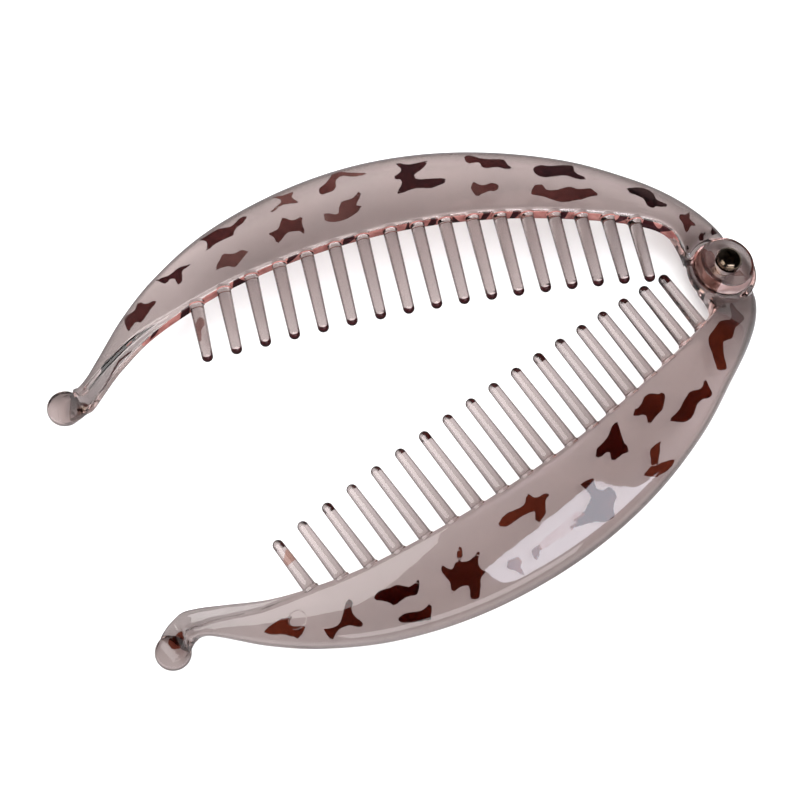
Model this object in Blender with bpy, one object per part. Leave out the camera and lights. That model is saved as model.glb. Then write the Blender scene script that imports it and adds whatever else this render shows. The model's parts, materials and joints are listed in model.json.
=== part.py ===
"""Banana hair clip, lying open.

Two moulded combs, each a bowed crescent arm with a row of round teeth, turn on one
screw. At its far end each arm bends down into a small round hook.

Each arm is drawn in its own flat frame, then turned to its place:
  run     distance from the hinge screw towards the hook, along the arm's chord
  out     distance from that chord, away from the other arm
  height  distance along the hinge screw, from the plane where the two ears meet
The arm's mesh has x = -run, y = out or -out, z = height. Lengths here are in
millimetres and are turned into metres when a vertex is made.
"""
import bpy
import bmesh
from math import atan2, cos, pi, radians, sin
from mathutils import Matrix, Vector

MM = 0.001

# The pose in which the clip lies
HALF_OPEN = radians(12.4)      # each arm's chord stands this far from the middle line

# Arm
CROWN = 0.3                    # rise of the front face between its two borders
INNER_BORDER = 1.3             # width of the rounded border beside the teeth
LEDGE_BORDER = 0.5             # its width near the hook, where it stands on a ledge
OUTER_ROLL = 2.5               # width of the rolled-over outer border
OUTER_DROP = 2.5               # how far it falls
EDGE_ROUND = 0.35              # small rounding of the back edges
STATIONS = 73                  # cross-sections along the arm and down the neck
TILT_FROM = 96.0               # the sections begin to lean with the arm's fall here
TILT_TO = 124.0                # and are square to it from here on

# A row for each cross-section, from the hinge down to the disc of the hook:
# inner edge (run, out, height of the wall's middle), outer edge the same, thickness,
# width of the low ledge on the inner side, and step from the ledge up to the face.
SECTIONS = (
    ((4.5, -2.6, -0.6), (-4.6, 5.4, -0.8), 3.7, 0.0, 1.0),
    ((7.2, 1.0, 0.4), (-2.4, 9.7, 0.3), 3.7, 0.0, 1.0),
    ((8.7, 4.6, 2.3), (2.1, 13.7, 2.2), 3.7, 0.0, 1.0),
    ((11.9, 7.9, 5.2), (8.7, 17.8, 4.0), 3.7, 0.0, 1.0),
    ((18.5, 10.0, 6.7), (17.0, 22.0, 4.8), 3.7, 0.0, 1.0),
    ((29.5, 12.4, 6.5), (29.5, 28.1, 3.4), 3.7, 0.0, 1.0),
    ((44.5, 14.7, 5.2), (44.5, 32.9, 0.7), 3.7, 0.0, 1.0),
    ((59.5, 15.9, 2.8), (60.0, 35.3, -2.2), 3.7, 0.0, 1.0),
    ((74.5, 15.8, -0.7), (75.5, 35.2, -5.7), 3.7, 0.0, 1.0),
    ((89.5, 14.5, -5.8), (91.0, 32.5, -10.2), 3.7, 0.0, 1.0),
    ((103.5, 12.0, -11.5), (106.0, 27.0, -15.0), 3.6, 0.0, 1.1),
    ((113.5, 8.8, -15.9), (117.5, 19.7, -19.8), 3.4, 0.4, 1.1),
    ((121.5, 5.2, -19.6), (125.3, 12.4, -23.9), 3.1, 1.3, 1.2),
    ((127.7, 0.8, -23.4), (130.5, 5.6, -27.4), 2.9, 2.2, 1.1),
    ((130.9, -2.0, -26.5), (132.4, 2.9, -29.4), 2.9, 2.9, 1.1),
    ((132.9, -3.8, -29.1), (133.6, 1.9, -30.9), 2.9, 3.3, 1.0),
    ((133.8, -4.4, -30.5), (134.2, 1.8, -32.1), 2.9, 3.6, 1.0),
    ((134.4, -4.5, -31.5), (134.6, 1.8, -32.9), 2.8, 4.9, 0.9),
    ((134.9, -4.5, -32.8), (134.8, 2.0, -34.2), 1.9, 4.6, 0.0),
    ((135.7, -4.5, -34.3), (135.2, 2.3, -35.4), 1.9, 4.2, 0.0),
    ((136.5, -4.3, -35.7), (135.8, 2.6, -36.5), 1.8, 4.2, 0.0),
    ((137.4, -3.9, -37.2), (136.6, 2.8, -37.4), 1.7, 4.2, 0.0),
    ((138.6, -3.0, -38.1), (138.0, 2.3, -38.0), 1.6, 3.5, 0.0),
)

# Teeth
TOOTH_PITCH = 5.72
TOOTH_BASE_R = 1.47
TOOTH_TIP_R = 1.2
TOOTH_SINK = 1.5               # how far a tooth's root runs into the arm
TOOTH_SIDES = 14
TIP_OUT = -3.1                 # where the round tips are centred, from the chord
TIP_LEAN = 0.8                 # the row of tips drifts this far outwards over the row
UPPER_TEETH = 17
UPPER_FIRST = 110.85           # run of the tooth nearest the hook
LOWER_TEETH = 18
LOWER_FIRST = 113.75

# Hinge: two ears lie on each other, and a screw goes through both
EAR_R = 7.7
LAP_GAP = 0.3                  # between the two ears
FLANGE_TOP = 1.7               # front ear, above the plane where the ears meet
EAR_BOTTOM = -2.7              # back ear
EAR_UNDERSIDE_R = 5.6          # its flat underside, inside a rounded edge
SHOULDER_R = 8.1               # each arm's other half is cut away inside this radius
BOSS_BASE_R = 6.5
BOSS_TOP_R = 6.0
BOSS_TOP = 4.9
DOME_R = 3.4
DOME_TOP = 5.2
COUNTERBORE_R = 3.0
COUNTERBORE_FLOOR = 3.9
BORE_R = 1.7
SHANK_R = 1.4
SHANK_END = -2.4
HEAD_R = 2.7
HEAD_BOTTOM = 4.2
HEAD_EDGE = 6.1                # top of the head's straight side
HEAD_TOP = 7.1
RECESS_WIDTH = 0.7             # cross recess in the screw head
RECESS_LENGTH = 3.2
RECESS_FLOOR = 5.9
ROUND_SIDES = 40

# Hook: the arm's neck ends in a round disc, flat on the surface that the clip lies on
DISC_RUN = 137.0
DISC_OUT = 0.0
DISC_BOTTOM = -38.8
DISC_THICKNESS = 1.8
DISC_R = 3.8

# How far the screw leans from upright, so that the clip rests on three places: the
# undersides of the two discs and the far rim of the back ear's underside are level.
LEAN = atan2(EAR_BOTTOM - DISC_BOTTOM, DISC_RUN * cos(HALF_OPEN) + EAR_UNDERSIDE_R)


def clear_scene():
    for obj in list(bpy.data.objects):
        bpy.data.objects.remove(obj, do_unlink=True)


def make_material(name, colour, roughness, metallic=0.0):
    mat = bpy.data.materials.new(name)
    mat.use_nodes = True
    shader = mat.node_tree.nodes["Principled BSDF"]
    shader.inputs["Base Color"].default_value = (*colour, 1.0)
    shader.inputs["Roughness"].default_value = roughness
    shader.inputs["Metallic"].default_value = metallic
    return mat


def add_object(name, bm, mat, smooth_angle=40.0):
    """Close a bmesh into an object, in metres, with its faces pointing out."""
    bmesh.ops.recalc_face_normals(bm, faces=bm.faces)
    bmesh.ops.scale(bm, vec=(MM, MM, MM), verts=bm.verts)
    mesh = bpy.data.meshes.new(name)
    bm.to_mesh(mesh)
    bm.free()
    mesh.shade_smooth()
    mesh.set_sharp_from_angle(angle=radians(smooth_angle))
    mesh.materials.append(mat)
    obj = bpy.data.objects.new(name, mesh)
    bpy.context.scene.collection.objects.link(obj)
    return obj


def add_helper(name, bm, mat, parent):
    obj = add_object(name, bm, mat)
    obj.hide_render = True
    obj.display_type = "WIRE"
    obj.parent = parent
    return obj


def combine(obj, other, operation):
    mod = obj.modifiers.new(other.name, "BOOLEAN")
    mod.operation = operation
    mod.solver = "EXACT"
    mod.object = other


def smooth_row(rows, place):
    """Read a smooth curve through the rows at place, from 0 to the last row's number."""
    i = min(int(place), len(rows) - 2)
    t = place - i
    p0 = rows[max(i - 1, 0)]
    p1 = rows[i]
    p2 = rows[i + 1]
    p3 = rows[min(i + 2, len(rows) - 1)]
    return [
        0.5 * (2 * b + (c - a) * t + (2 * a - 5 * b + 4 * c - d) * t * t
               + (3 * b - a - 3 * c + d) * t ** 3)
        for a, b, c, d in zip(p0, p1, p2, p3)
    ]


def loft(rings):
    """Join rings of points, each in the same order, into one closed body."""
    bm = bmesh.new()
    loops = []
    for ring in rings:
        verts = [bm.verts.new(p) for p in ring]
        loops.append(verts)
    for a, b in zip(loops, loops[1:]):
        for i in range(len(a)):
            j = (i + 1) % len(a)
            bm.faces.new((a[i], a[j], b[j], b[i]))
    bm.faces.new(loops[0])
    bm.faces.new(loops[-1])
    return bm


def mix(a, b, part):
    return a + (b - a) * part


def straight_row(rows, place):
    """Read the rows at place along straight lines between them."""
    i = min(int(place), len(rows) - 2)
    return [mix(a, b, place - i) for a, b in zip(rows[i], rows[i + 1])]


def arm_profile(width, thick, ledge, step):
    """The cross-section: (distance from the inner edge, height above the middle)."""
    half = thick / 2
    low = half - step
    on_ledge = min(1.0, ledge / 1.3)
    border = mix(min(INNER_BORDER, 0.22 * width), LEDGE_BORDER, on_ledge)
    foot = mix(0.4 * border, ledge, on_ledge)
    foot_rise = mix(half - 0.35 * step, low, on_ledge)
    face_from = mix(border, ledge + border, on_ledge)
    roll = min(OUTER_ROLL, 0.42 * (width - face_from))
    drop = min(OUTER_DROP, 0.66 * thick) * min(1.0, roll / 1.0)
    face = width - face_from - roll
    crown = CROWN * min(1.0, face / 6.0)
    return (
        (EDGE_ROUND, -half),
        (0.0, -half + EDGE_ROUND),
        (0.0, low),
        (foot, foot_rise),
        (face_from, half),
        (face_from + 0.33 * face, half + crown),
        (face_from + 0.67 * face, half + crown),
        (width - roll, half),
        (width - 0.55 * roll, half - 0.16 * drop),
        (width - 0.2 * roll, half - 0.5 * drop),
        (width, half - drop),
        (width + 0.2, -half + 0.5),
        (width - EDGE_ROUND, -half),
    )


def section_at(place):
    """Inner and outer edge of the arm, as two vectors, at a place along the rows."""
    flat = [row[0] + row[1] for row in SECTIONS]
    row = smooth_row(flat, place)
    return Vector(row[:3]), Vector(row[3:])


def arm_body(side):
    """The arm and its neck, as one closed strip of cross-sections."""
    rings = []
    last = len(SECTIONS) - 1
    for k in range(STATIONS):
        place = k / (STATIONS - 1) * last
        inner, outer = section_at(place)
        thick, ledge, step = straight_row([row[2:] for row in SECTIONS], place)
        before = sum(section_at(max(place - 0.3, 0)), Vector())
        after = sum(section_at(min(place + 0.3, last)), Vector())
        square = (after - before).cross(outer - inner).normalized()
        if square.z < 0:
            square = -square
        lean = min(1.0, max(0.0, (inner.x - TILT_FROM) / (TILT_TO - TILT_FROM)))
        up = Vector((0, 0, 1)).lerp(square, lean).normalized()
        width = (outer - inner).length
        ring = []
        for across, rise in arm_profile(width, thick, ledge, step):
            p = inner.lerp(outer, across / width) + up * rise
            ring.append((-p.x, side * p.y, p.z))
        rings.append(ring)
    return loft(rings)


def inner_edge_at(run):
    """Out and height of the arm's inner edge at a run, by halving the interval."""
    low, high = 2.0, 12.0
    for _ in range(40):
        middle = (low + high) / 2
        if section_at(middle)[0].x < run:
            low = middle
        else:
            high = middle
    point = section_at(low)[0]
    return point.y, point.z


def add_tooth(bm, run, side, row_part):
    """One round tooth: a tapered shank with a round tip, spun about its own axis."""
    root_out, height = inner_edge_at(run)
    tip_out = TIP_OUT + TIP_LEAN * row_part
    profile = [(0.0, root_out + TOOTH_SINK), (TOOTH_BASE_R, root_out + TOOTH_SINK)]
    profile.append((TOOTH_TIP_R, tip_out))
    for step in (1, 2, 3):
        angle = step * pi / 6
        profile.append((TOOTH_TIP_R * cos(angle), tip_out - TOOTH_TIP_R * sin(angle)))
    x = -run
    verts = [bm.verts.new((x + r, side * out, height)) for r, out in profile]
    edges = [bm.edges.new(pair) for pair in zip(verts, verts[1:])]
    bmesh.ops.spin(bm, geom=verts + edges, cent=(x, 0.0, height), axis=(0.0, 1.0, 0.0),
                   angle=2 * pi, steps=TOOTH_SIDES, use_merge=True)


def teeth(side, count, first):
    bm = bmesh.new()
    for k in range(count):
        add_tooth(bm, first - k * TOOTH_PITCH, side, 1 - k / (count - 1))
    bmesh.ops.remove_doubles(bm, verts=bm.verts, dist=0.002)
    return bm


def turned(profile, sides=ROUND_SIDES):
    """A round body about the screw's axis, from (radius, height) pairs, top to bottom."""
    bm = bmesh.new()
    verts = [bm.verts.new((r, 0.0, z)) for r, z in profile]
    edges = [bm.edges.new(pair) for pair in zip(verts, verts[1:])]
    bmesh.ops.spin(bm, geom=verts + edges, cent=(0, 0, 0), axis=(0, 0, 1),
                   angle=2 * pi, steps=sides, use_merge=True)
    bmesh.ops.remove_doubles(bm, verts=bm.verts, dist=0.002)
    return bm


def front_ear():
    return turned([
        (0.0, DOME_TOP), (DOME_R, DOME_TOP), (BOSS_TOP_R - 0.6, BOSS_TOP + 0.1),
        (BOSS_TOP_R - 0.15, BOSS_TOP - 0.15), (BOSS_TOP_R, BOSS_TOP - 0.6),
        (BOSS_BASE_R - 0.35, FLANGE_TOP + 1.0), (BOSS_BASE_R, FLANGE_TOP + 0.3),
        (EAR_R - 0.3, FLANGE_TOP - 0.3), (EAR_R, FLANGE_TOP - 0.7),
        (EAR_R, LAP_GAP / 2), (0.0, LAP_GAP / 2),
    ])


def back_ear():
    return turned([
        (0.0, -LAP_GAP / 2), (EAR_R - 0.2, -LAP_GAP / 2), (EAR_R - 0.4, -0.7),
        (EAR_R - 1.3, -2.0), (EAR_UNDERSIDE_R, EAR_BOTTOM), (0.0, EAR_BOTTOM),
    ])


def plain_cylinder(radius, bottom, top):
    return turned([(0.0, top), (radius, top), (radius, bottom), (0.0, bottom)])


def stepped_bore():
    return turned([
        (0.0, 20.0), (COUNTERBORE_R, 20.0), (COUNTERBORE_R, COUNTERBORE_FLOOR),
        (BORE_R, COUNTERBORE_FLOOR), (BORE_R, -20.0), (0.0, -20.0),
    ])


def up_in_arm_frame(side):
    """The upright direction of the room, in an arm's own frame."""
    up = Vector((-sin(LEAN), 0.0, cos(LEAN)))
    return Matrix.Rotation(side * HALF_OPEN, 3, "Z") @ up


def disc_centre(side):
    return Vector((-DISC_RUN, side * DISC_OUT, DISC_BOTTOM + DISC_THICKNESS / 2))


def hook_disc(side):
    """The round disc, parallel to the surface that the clip lies on."""
    bm = turned([
        (0.0, DISC_THICKNESS / 2), (DISC_R - 0.3, DISC_THICKNESS / 2),
        (DISC_R, DISC_THICKNESS / 2 - 0.3), (DISC_R, -DISC_THICKNESS / 2 + 0.3),
        (DISC_R - 0.3, -DISC_THICKNESS / 2), (0.0, -DISC_THICKNESS / 2),
    ], sides=28)
    turn = Vector((0, 0, 1)).rotation_difference(up_in_arm_frame(side)).to_matrix()
    bmesh.ops.rotate(bm, cent=(0, 0, 0), matrix=turn, verts=bm.verts)
    bmesh.ops.translate(bm, vec=disc_centre(side), verts=bm.verts)
    return bm


def make_comb(name, side, count, first, mat, frame):
    """One moulded comb. side is 1 for the upper arm and -1 for the lower one."""
    holder = bpy.data.objects.new(name + "_frame", None)
    bpy.context.scene.collection.objects.link(holder)
    holder.parent = frame
    holder.rotation_euler = (0.0, 0.0, -side * HALF_OPEN)
    comb = add_object(name, arm_body(side), mat)
    comb.parent = holder
    if side > 0:
        lap = plain_cylinder(SHOULDER_R, -20.0, LAP_GAP / 2)
        ear = front_ear()
    else:
        lap = plain_cylinder(SHOULDER_R, -LAP_GAP / 2, 20.0)
        ear = back_ear()
    steps = (
        ("lap", lap, "DIFFERENCE"),
        ("ear", ear, "UNION"),
        ("teeth", teeth(side, count, first), "UNION"),
        ("disc", hook_disc(side), "UNION"),
        ("bore", stepped_bore(), "DIFFERENCE"),
    )
    for label, bm, operation in steps:
        combine(comb, add_helper(name + "_" + label, bm, mat, holder), operation)
    return comb


def make_screw(mat, frame):
    """Round-headed screw with a cross recess and a plain shank."""
    profile = [(0.0, HEAD_TOP)]
    for step in (1, 2, 3, 4):
        angle = step * pi / 8
        profile.append((HEAD_R * sin(angle), HEAD_EDGE + (HEAD_TOP - HEAD_EDGE) * cos(angle)))
    profile += [(HEAD_R, HEAD_BOTTOM), (SHANK_R, HEAD_BOTTOM), (SHANK_R, SHANK_END),
                (0.0, SHANK_END)]
    screw = add_object("hinge_screw", turned(profile, sides=32), mat)
    screw.parent = frame
    long, wide = RECESS_LENGTH / 2, RECESS_WIDTH / 2
    outline = []
    for quarter in range(4):
        turn = Matrix.Rotation(quarter * pi / 2, 2)
        outline += [turn @ Vector(p) for p in ((long, -wide), (long, wide), (wide, wide))]
    bm = loft([[(p.x, p.y, z) for p in outline] for z in (RECESS_FLOOR, 20.0)])
    combine(screw, add_helper("hinge_screw_recess", bm, mat, frame), "DIFFERENCE")
    return screw


def seat_on_origin(frame, pieces):
    """Move the hinge so that the middle of the underside is the origin."""
    bpy.context.view_layer.update()
    graph = bpy.context.evaluated_depsgraph_get()
    points = []
    for piece in pieces:
        done = piece.evaluated_get(graph)
        points += [done.matrix_world @ v.co for v in done.data.vertices]
    low = [min(p[i] for p in points) for i in range(3)]
    high = [max(p[i] for p in points) for i in range(3)]
    frame.location -= Vector(((low[0] + high[0]) / 2, (low[1] + high[1]) / 2, low[2]))
    bpy.context.view_layer.update()


def build():
    clear_scene()
    smoky = (0.36, 0.28, 0.27)
    upper_mat = make_material("upper_comb_plastic", smoky, 0.12)
    lower_mat = make_material("lower_comb_plastic", smoky, 0.12)
    screw_mat = make_material("hinge_screw_metal", (0.09, 0.075, 0.06), 0.3, metallic=1.0)
    hinge = bpy.data.objects.new("hinge_axis", None)
    bpy.context.scene.collection.objects.link(hinge)
    hinge.rotation_euler = (0.0, LEAN, 0.0)
    upper = make_comb("upper_comb", 1, UPPER_TEETH, UPPER_FIRST, upper_mat, hinge)
    lower = make_comb("lower_comb", -1, LOWER_TEETH, LOWER_FIRST, lower_mat, hinge)
    screw = make_screw(screw_mat, hinge)
    seat_on_origin(hinge, (upper, lower, screw))
    axis = hinge.matrix_world.to_3x3() @ Vector((0, 0, 1))
    print("hinge point in metres", [round(v, 6) for v in hinge.matrix_world.translation])
    print("hinge axis", [round(v, 6) for v in axis])


build()
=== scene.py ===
# %% [markdown]
# Banana hair clip, lying open on a pale table.
#
# The real clip is two moulded combs of clear, smoky plastic with dark brown patches,
# and one small screw. Its look comes almost wholly from light that goes through it, so
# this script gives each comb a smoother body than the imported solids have, a clear
# plastic that darkens with depth, and a table and lamps for it to refract.

import json
import bpy
import bmesh
import numpy as np
from math import atan2, cos, pi, radians, sin
from mathutils import Matrix, Vector


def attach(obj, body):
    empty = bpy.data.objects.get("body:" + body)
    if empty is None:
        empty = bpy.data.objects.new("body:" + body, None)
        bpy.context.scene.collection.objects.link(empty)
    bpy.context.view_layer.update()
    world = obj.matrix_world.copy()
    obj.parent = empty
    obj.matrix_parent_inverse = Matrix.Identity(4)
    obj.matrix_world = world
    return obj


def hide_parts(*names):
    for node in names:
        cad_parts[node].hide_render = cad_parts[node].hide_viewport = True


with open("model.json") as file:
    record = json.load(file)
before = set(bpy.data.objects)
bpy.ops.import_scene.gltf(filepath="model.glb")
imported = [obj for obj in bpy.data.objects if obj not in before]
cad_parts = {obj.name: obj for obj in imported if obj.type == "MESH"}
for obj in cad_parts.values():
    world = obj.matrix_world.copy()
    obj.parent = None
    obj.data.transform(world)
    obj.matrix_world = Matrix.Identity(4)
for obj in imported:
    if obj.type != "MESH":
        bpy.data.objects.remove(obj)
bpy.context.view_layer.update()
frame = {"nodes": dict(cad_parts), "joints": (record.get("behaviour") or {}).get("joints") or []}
print("packed nodes:", sorted(frame["nodes"]))

# %% [markdown]
# The camera stands above the table, a little towards the viewer's left. A camera can be
# aimed at an empty with a constraint, or be given its place and its three directions.
# The second way is exact and can be repeated, and both are in the same metres as the
# clip.

# %% Camera
CAMERA_AT = (-0.1162, -0.2313, 0.6385)
CAMERA_RIGHT = (0.9116, -0.4110, 0.0065)
CAMERA_UP = (0.3788, 0.8459, 0.3753)
CAMERA_BACK = (-0.1597, -0.3397, 0.9268)
LENS_MM = 146.85

camera = bpy.data.objects.new("camera", bpy.data.cameras.new("camera"))
bpy.context.scene.collection.objects.link(camera)
turn = Matrix((CAMERA_RIGHT, CAMERA_UP, CAMERA_BACK)).transposed()
camera.matrix_world = Matrix.Translation(CAMERA_AT) @ turn.to_4x4()
camera.data.lens = LENS_MM
camera.data.sensor_width = 36.0
camera.data.clip_start = 0.01
bpy.context.scene.camera = camera
print("camera at", CAMERA_AT)

# %% [markdown]
# Each comb is drawn in its own flat frame, in millimetres: run is the distance from
# the screw towards the hook, out is the distance from the straight line between them,
# and height is measured along the screw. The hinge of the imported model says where
# that frame lies in the room. One matrix takes a whole finished mesh there, which is
# simpler than to draw a leaning, half-open arm in the room's own directions.

# %% The frame of each arm
MM = 0.001
HALF_OPEN = radians(12.4)
hinge = frame["joints"][0]
hinge_point = Vector(hinge["pos_m"])
hinge_axis = Vector(hinge["axis"]).normalized()
LEAN = atan2(hinge_axis.x, hinge_axis.z)


def arm_to_room(side):
    """From an arm's frame in millimetres to the room in metres."""
    place = Matrix.Translation(hinge_point) @ Matrix.Rotation(LEAN, 4, "Y")
    return place @ Matrix.Rotation(-side * HALF_OPEN, 4, "Z") @ Matrix.Scale(MM, 4)


print("the screw leans", round(LEAN * 180 / pi, 2), "degrees")

# %% [markdown]
# The arm changes width, height and thickness along its length, so it is a loft: a
# closed section is drawn at many stations, and neighbouring sections are bridged. A
# short table holds the sections where the shape turns, and a smooth curve is read
# through them.

# %% Sections of the arm
# inner edge (run, out, height of the wall's middle), outer edge the same, thickness,
# width of the low ledge on the inner side, and step from the ledge up to the face
SECTIONS = (
    ((4.5, -2.6, -0.6), (-4.6, 5.4, -0.8), 3.7, 0.0, 1.0),
    ((7.2, 1.0, 0.4), (-2.4, 9.7, 0.3), 3.7, 0.0, 1.0),
    ((8.7, 4.6, 2.3), (2.1, 13.7, 2.2), 3.7, 0.0, 1.0),
    ((11.9, 7.9, 5.2), (8.7, 17.8, 4.0), 3.7, 0.0, 1.0),
    ((18.5, 10.0, 6.7), (17.0, 22.0, 4.8), 3.7, 0.0, 1.0),
    ((29.5, 12.4, 6.5), (29.5, 28.1, 3.4), 3.7, 0.0, 1.0),
    ((44.5, 14.7, 5.2), (44.5, 32.9, 0.7), 3.7, 0.0, 1.0),
    ((59.5, 15.9, 2.8), (60.0, 35.3, -2.2), 3.7, 0.0, 1.0),
    ((74.5, 15.8, -0.7), (75.5, 35.2, -5.7), 3.7, 0.0, 1.0),
    ((89.5, 14.5, -5.8), (91.0, 32.5, -10.2), 3.7, 0.0, 1.0),
    ((103.5, 12.0, -11.5), (106.0, 27.0, -15.0), 3.6, 0.0, 1.1),
    ((113.5, 8.8, -15.9), (117.5, 19.7, -19.8), 3.4, 0.4, 1.1),
    ((121.5, 5.2, -19.6), (125.3, 12.4, -23.9), 3.1, 1.3, 1.2),
    ((127.7, 0.8, -23.4), (130.5, 5.6, -27.4), 2.9, 2.2, 1.1),
    ((130.9, -2.0, -26.5), (132.4, 2.9, -29.4), 2.9, 2.9, 1.1),
    ((132.9, -3.8, -29.1), (133.6, 1.9, -30.9), 2.9, 3.3, 1.0),
    ((133.8, -4.4, -30.5), (134.2, 1.8, -32.1), 2.9, 3.6, 1.0),
    ((134.4, -4.5, -31.5), (134.6, 1.8, -32.9), 2.8, 4.9, 0.9),
    ((134.9, -4.5, -32.8), (134.8, 2.0, -34.2), 1.9, 4.6, 0.0),
    ((135.7, -4.5, -34.3), (135.2, 2.3, -35.4), 1.9, 4.2, 0.0),
    ((136.5, -4.3, -35.7), (135.8, 2.6, -36.5), 1.8, 4.2, 0.0),
    ((137.4, -3.9, -37.2), (136.6, 2.8, -37.4), 1.7, 4.2, 0.0),
    ((138.6, -3.0, -38.1), (138.0, 2.3, -38.0), 1.6, 3.5, 0.0),
)
CROWN = 0.3
CROWN_FULL = 6.0          # a face at least this wide has its whole crown
UNDERSIDE_CROWN = 1.25    # the underside is hollow by this share of the crown
INNER_BORDER = 1.3
LEDGE_BORDER = 0.5
LEDGE_FULL = 1.3          # a narrower ledge fades into the border
OUTER_ROLL = 2.5
OUTER_DROP = 2.5
EDGE_ROUND = 0.35
TILT_FROM = 96.0          # from here to TILT_TO the sections turn square to the arm
TILT_TO = 124.0
STATION_STEP = 0.7
SLOPE_REACH = 0.3         # rows to either side that the arm's direction is read from
print(len(SECTIONS), "sections, the last at run", SECTIONS[-1][0][0])


# %% Read the shape between the sections
def mix(a, b, part):
    return a + (b - a) * part


def smooth_row(rows, place):
    """Read a smooth curve through the rows, place running from 0 to the last row."""
    i = min(int(place), len(rows) - 2)
    t = place - i
    near = [rows[max(i - 1, 0)], rows[i], rows[i + 1], rows[min(i + 2, len(rows) - 1)]]
    return [
        0.5 * (2 * b + (c - a) * t + (2 * a - 5 * b + 4 * c - d) * t * t
               + (3 * b - a - 3 * c + d) * t ** 3)
        for a, b, c, d in zip(*near)
    ]


def straight_row(rows, place):
    i = min(int(place), len(rows) - 2)
    return [mix(a, b, place - i) for a, b in zip(rows[i], rows[i + 1])]


def edges_at(place):
    """Inner and outer edge of the arm at a place along the rows."""
    row = smooth_row([a + b for a, b, *_ in SECTIONS], place)
    return Vector(row[:3]), Vector(row[3:])


def inner_edge_at(run):
    """Out and height of the inner edge at a run, by halving the interval."""
    low, high = 2.0, 12.0
    for _ in range(40):
        middle = (low + high) / 2
        if edges_at(middle)[0].x < run:
            low = middle
        else:
            high = middle
    point = edges_at(low)[0]
    return point.y, point.z


print("out and height of the inner edge at run 60:", inner_edge_at(60))

# %% [markdown]
# A moulded edge is never sharp. Cutting the corners of an outline, and then the
# corners that this leaves, turns a few corner points into a soft curve. The same
# helper rounds the arm's section and the turned bosses.


# %% Round an outline
def rounded(points, times, closed):
    """Cut every corner of an outline, several times over."""
    points = [Vector(p) for p in points]
    for _ in range(times):
        out = [] if closed else [points[0]]
        pairs = list(zip(points, points[1:]))
        if closed:
            pairs.append((points[-1], points[0]))
        for a, b in pairs:
            out += [a.lerp(b, 0.25), a.lerp(b, 0.75)]
        points = out if closed else out + [points[-1]]
    return points


def arm_profile(width, thick, ledge, step):
    """Corners of the section: (distance from the inner edge, height over the middle)."""
    half = thick / 2
    low = half - step
    on_ledge = min(1.0, ledge / LEDGE_FULL)
    border = mix(min(INNER_BORDER, 0.22 * width), LEDGE_BORDER, on_ledge)
    foot = mix(0.4 * border, ledge, on_ledge)
    foot_rise = mix(half - 0.35 * step, low, on_ledge)
    face_from = mix(border, ledge + border, on_ledge)
    roll = min(OUTER_ROLL, 0.42 * (width - face_from))
    drop = min(OUTER_DROP, 0.66 * thick) * min(1.0, roll / 1.0)
    face = width - face_from - roll
    crown = CROWN * min(1.0, face / CROWN_FULL)
    return (
        (EDGE_ROUND, -half), (0.0, -half + EDGE_ROUND), (0.0, low), (foot, foot_rise),
        (face_from, half), (face_from + 0.33 * face, half + crown),
        (face_from + 0.67 * face, half + crown), (width - roll, half),
        (width - 0.55 * roll, half - 0.16 * drop),
        (width - 0.2 * roll, half - 0.5 * drop), (width, half - drop),
        (width + 0.2, -half + 0.5), (width - EDGE_ROUND, -half),
        (face_from + 0.67 * face, -half + UNDERSIDE_CROWN * crown),
        (face_from + 0.33 * face, -half + UNDERSIDE_CROWN * crown),
    )


SECTION_CUTS = 3
print("section corners:", len(rounded(arm_profile(18, 3.7, 0, 1), SECTION_CUTS, True)))


# %% Loft the arm
def arm_ring(bm, place, side):
    """One section of the arm, as a closed ring of edges."""
    last = len(SECTIONS) - 1
    inner, outer = edges_at(place)
    thick, ledge, step = straight_row([row[2:] for row in SECTIONS], place)
    before = sum(edges_at(max(place - SLOPE_REACH, 0)), Vector())
    after = sum(edges_at(min(place + SLOPE_REACH, last)), Vector())
    square = (after - before).cross(outer - inner).normalized()
    square *= 1 if square.z > 0 else -1
    lean = min(1.0, max(0.0, (inner.x - TILT_FROM) / (TILT_TO - TILT_FROM)))
    up = Vector((0, 0, 1)).lerp(square, lean).normalized()
    width = (outer - inner).length
    verts = []
    for across, rise in rounded(arm_profile(width, thick, ledge, step), SECTION_CUTS, True):
        p = inner.lerp(outer, across / width) + up * rise
        verts.append(bm.verts.new((-p.x, side * p.y, p.z)))
    return [bm.edges.new(pair) for pair in zip(verts, verts[1:] + verts[:1])]


def station_places():
    """Places along the rows, about STATION_STEP millimetres apart."""
    last = len(SECTIONS) - 1
    middles = [sum(edges_at(i), Vector()) / 2 for i in range(last + 1)]
    places = []
    for i in range(last):
        steps = max(3, round((middles[i + 1] - middles[i]).length / STATION_STEP))
        places += [i + k / steps for k in range(steps)]
    return places + [last]


def arm_loft(side):
    bm = bmesh.new()
    rings = [arm_ring(bm, place, side) for place in station_places()]
    for a, b in zip(rings, rings[1:]):
        bmesh.ops.bridge_loops(bm, edges=a + b)
    for ring in (rings[0], rings[-1]):
        bmesh.ops.edgeloop_fill(bm, edges=ring)
    bmesh.ops.recalc_face_normals(bm, faces=bm.faces)
    return bm


test = arm_loft(1)
print("arm loft:", len(test.verts), "vertices, closed:",
      all(len(e.link_faces) == 2 for e in test.edges))
test.free()

# %% [markdown]
# Teeth, ears, bosses and the discs of the hooks are all round. A plain cylinder would
# give them straight sides and hard ends, so each is a half outline, with its tapers and
# soft edges, that is spun about its axis.

# %% Turned shapes
SPIN_STEPS = 64
ROUND_STEPS = 8           # steps of a quarter turn in a half-round end
MERGE_DISTANCE = 0.002


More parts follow.
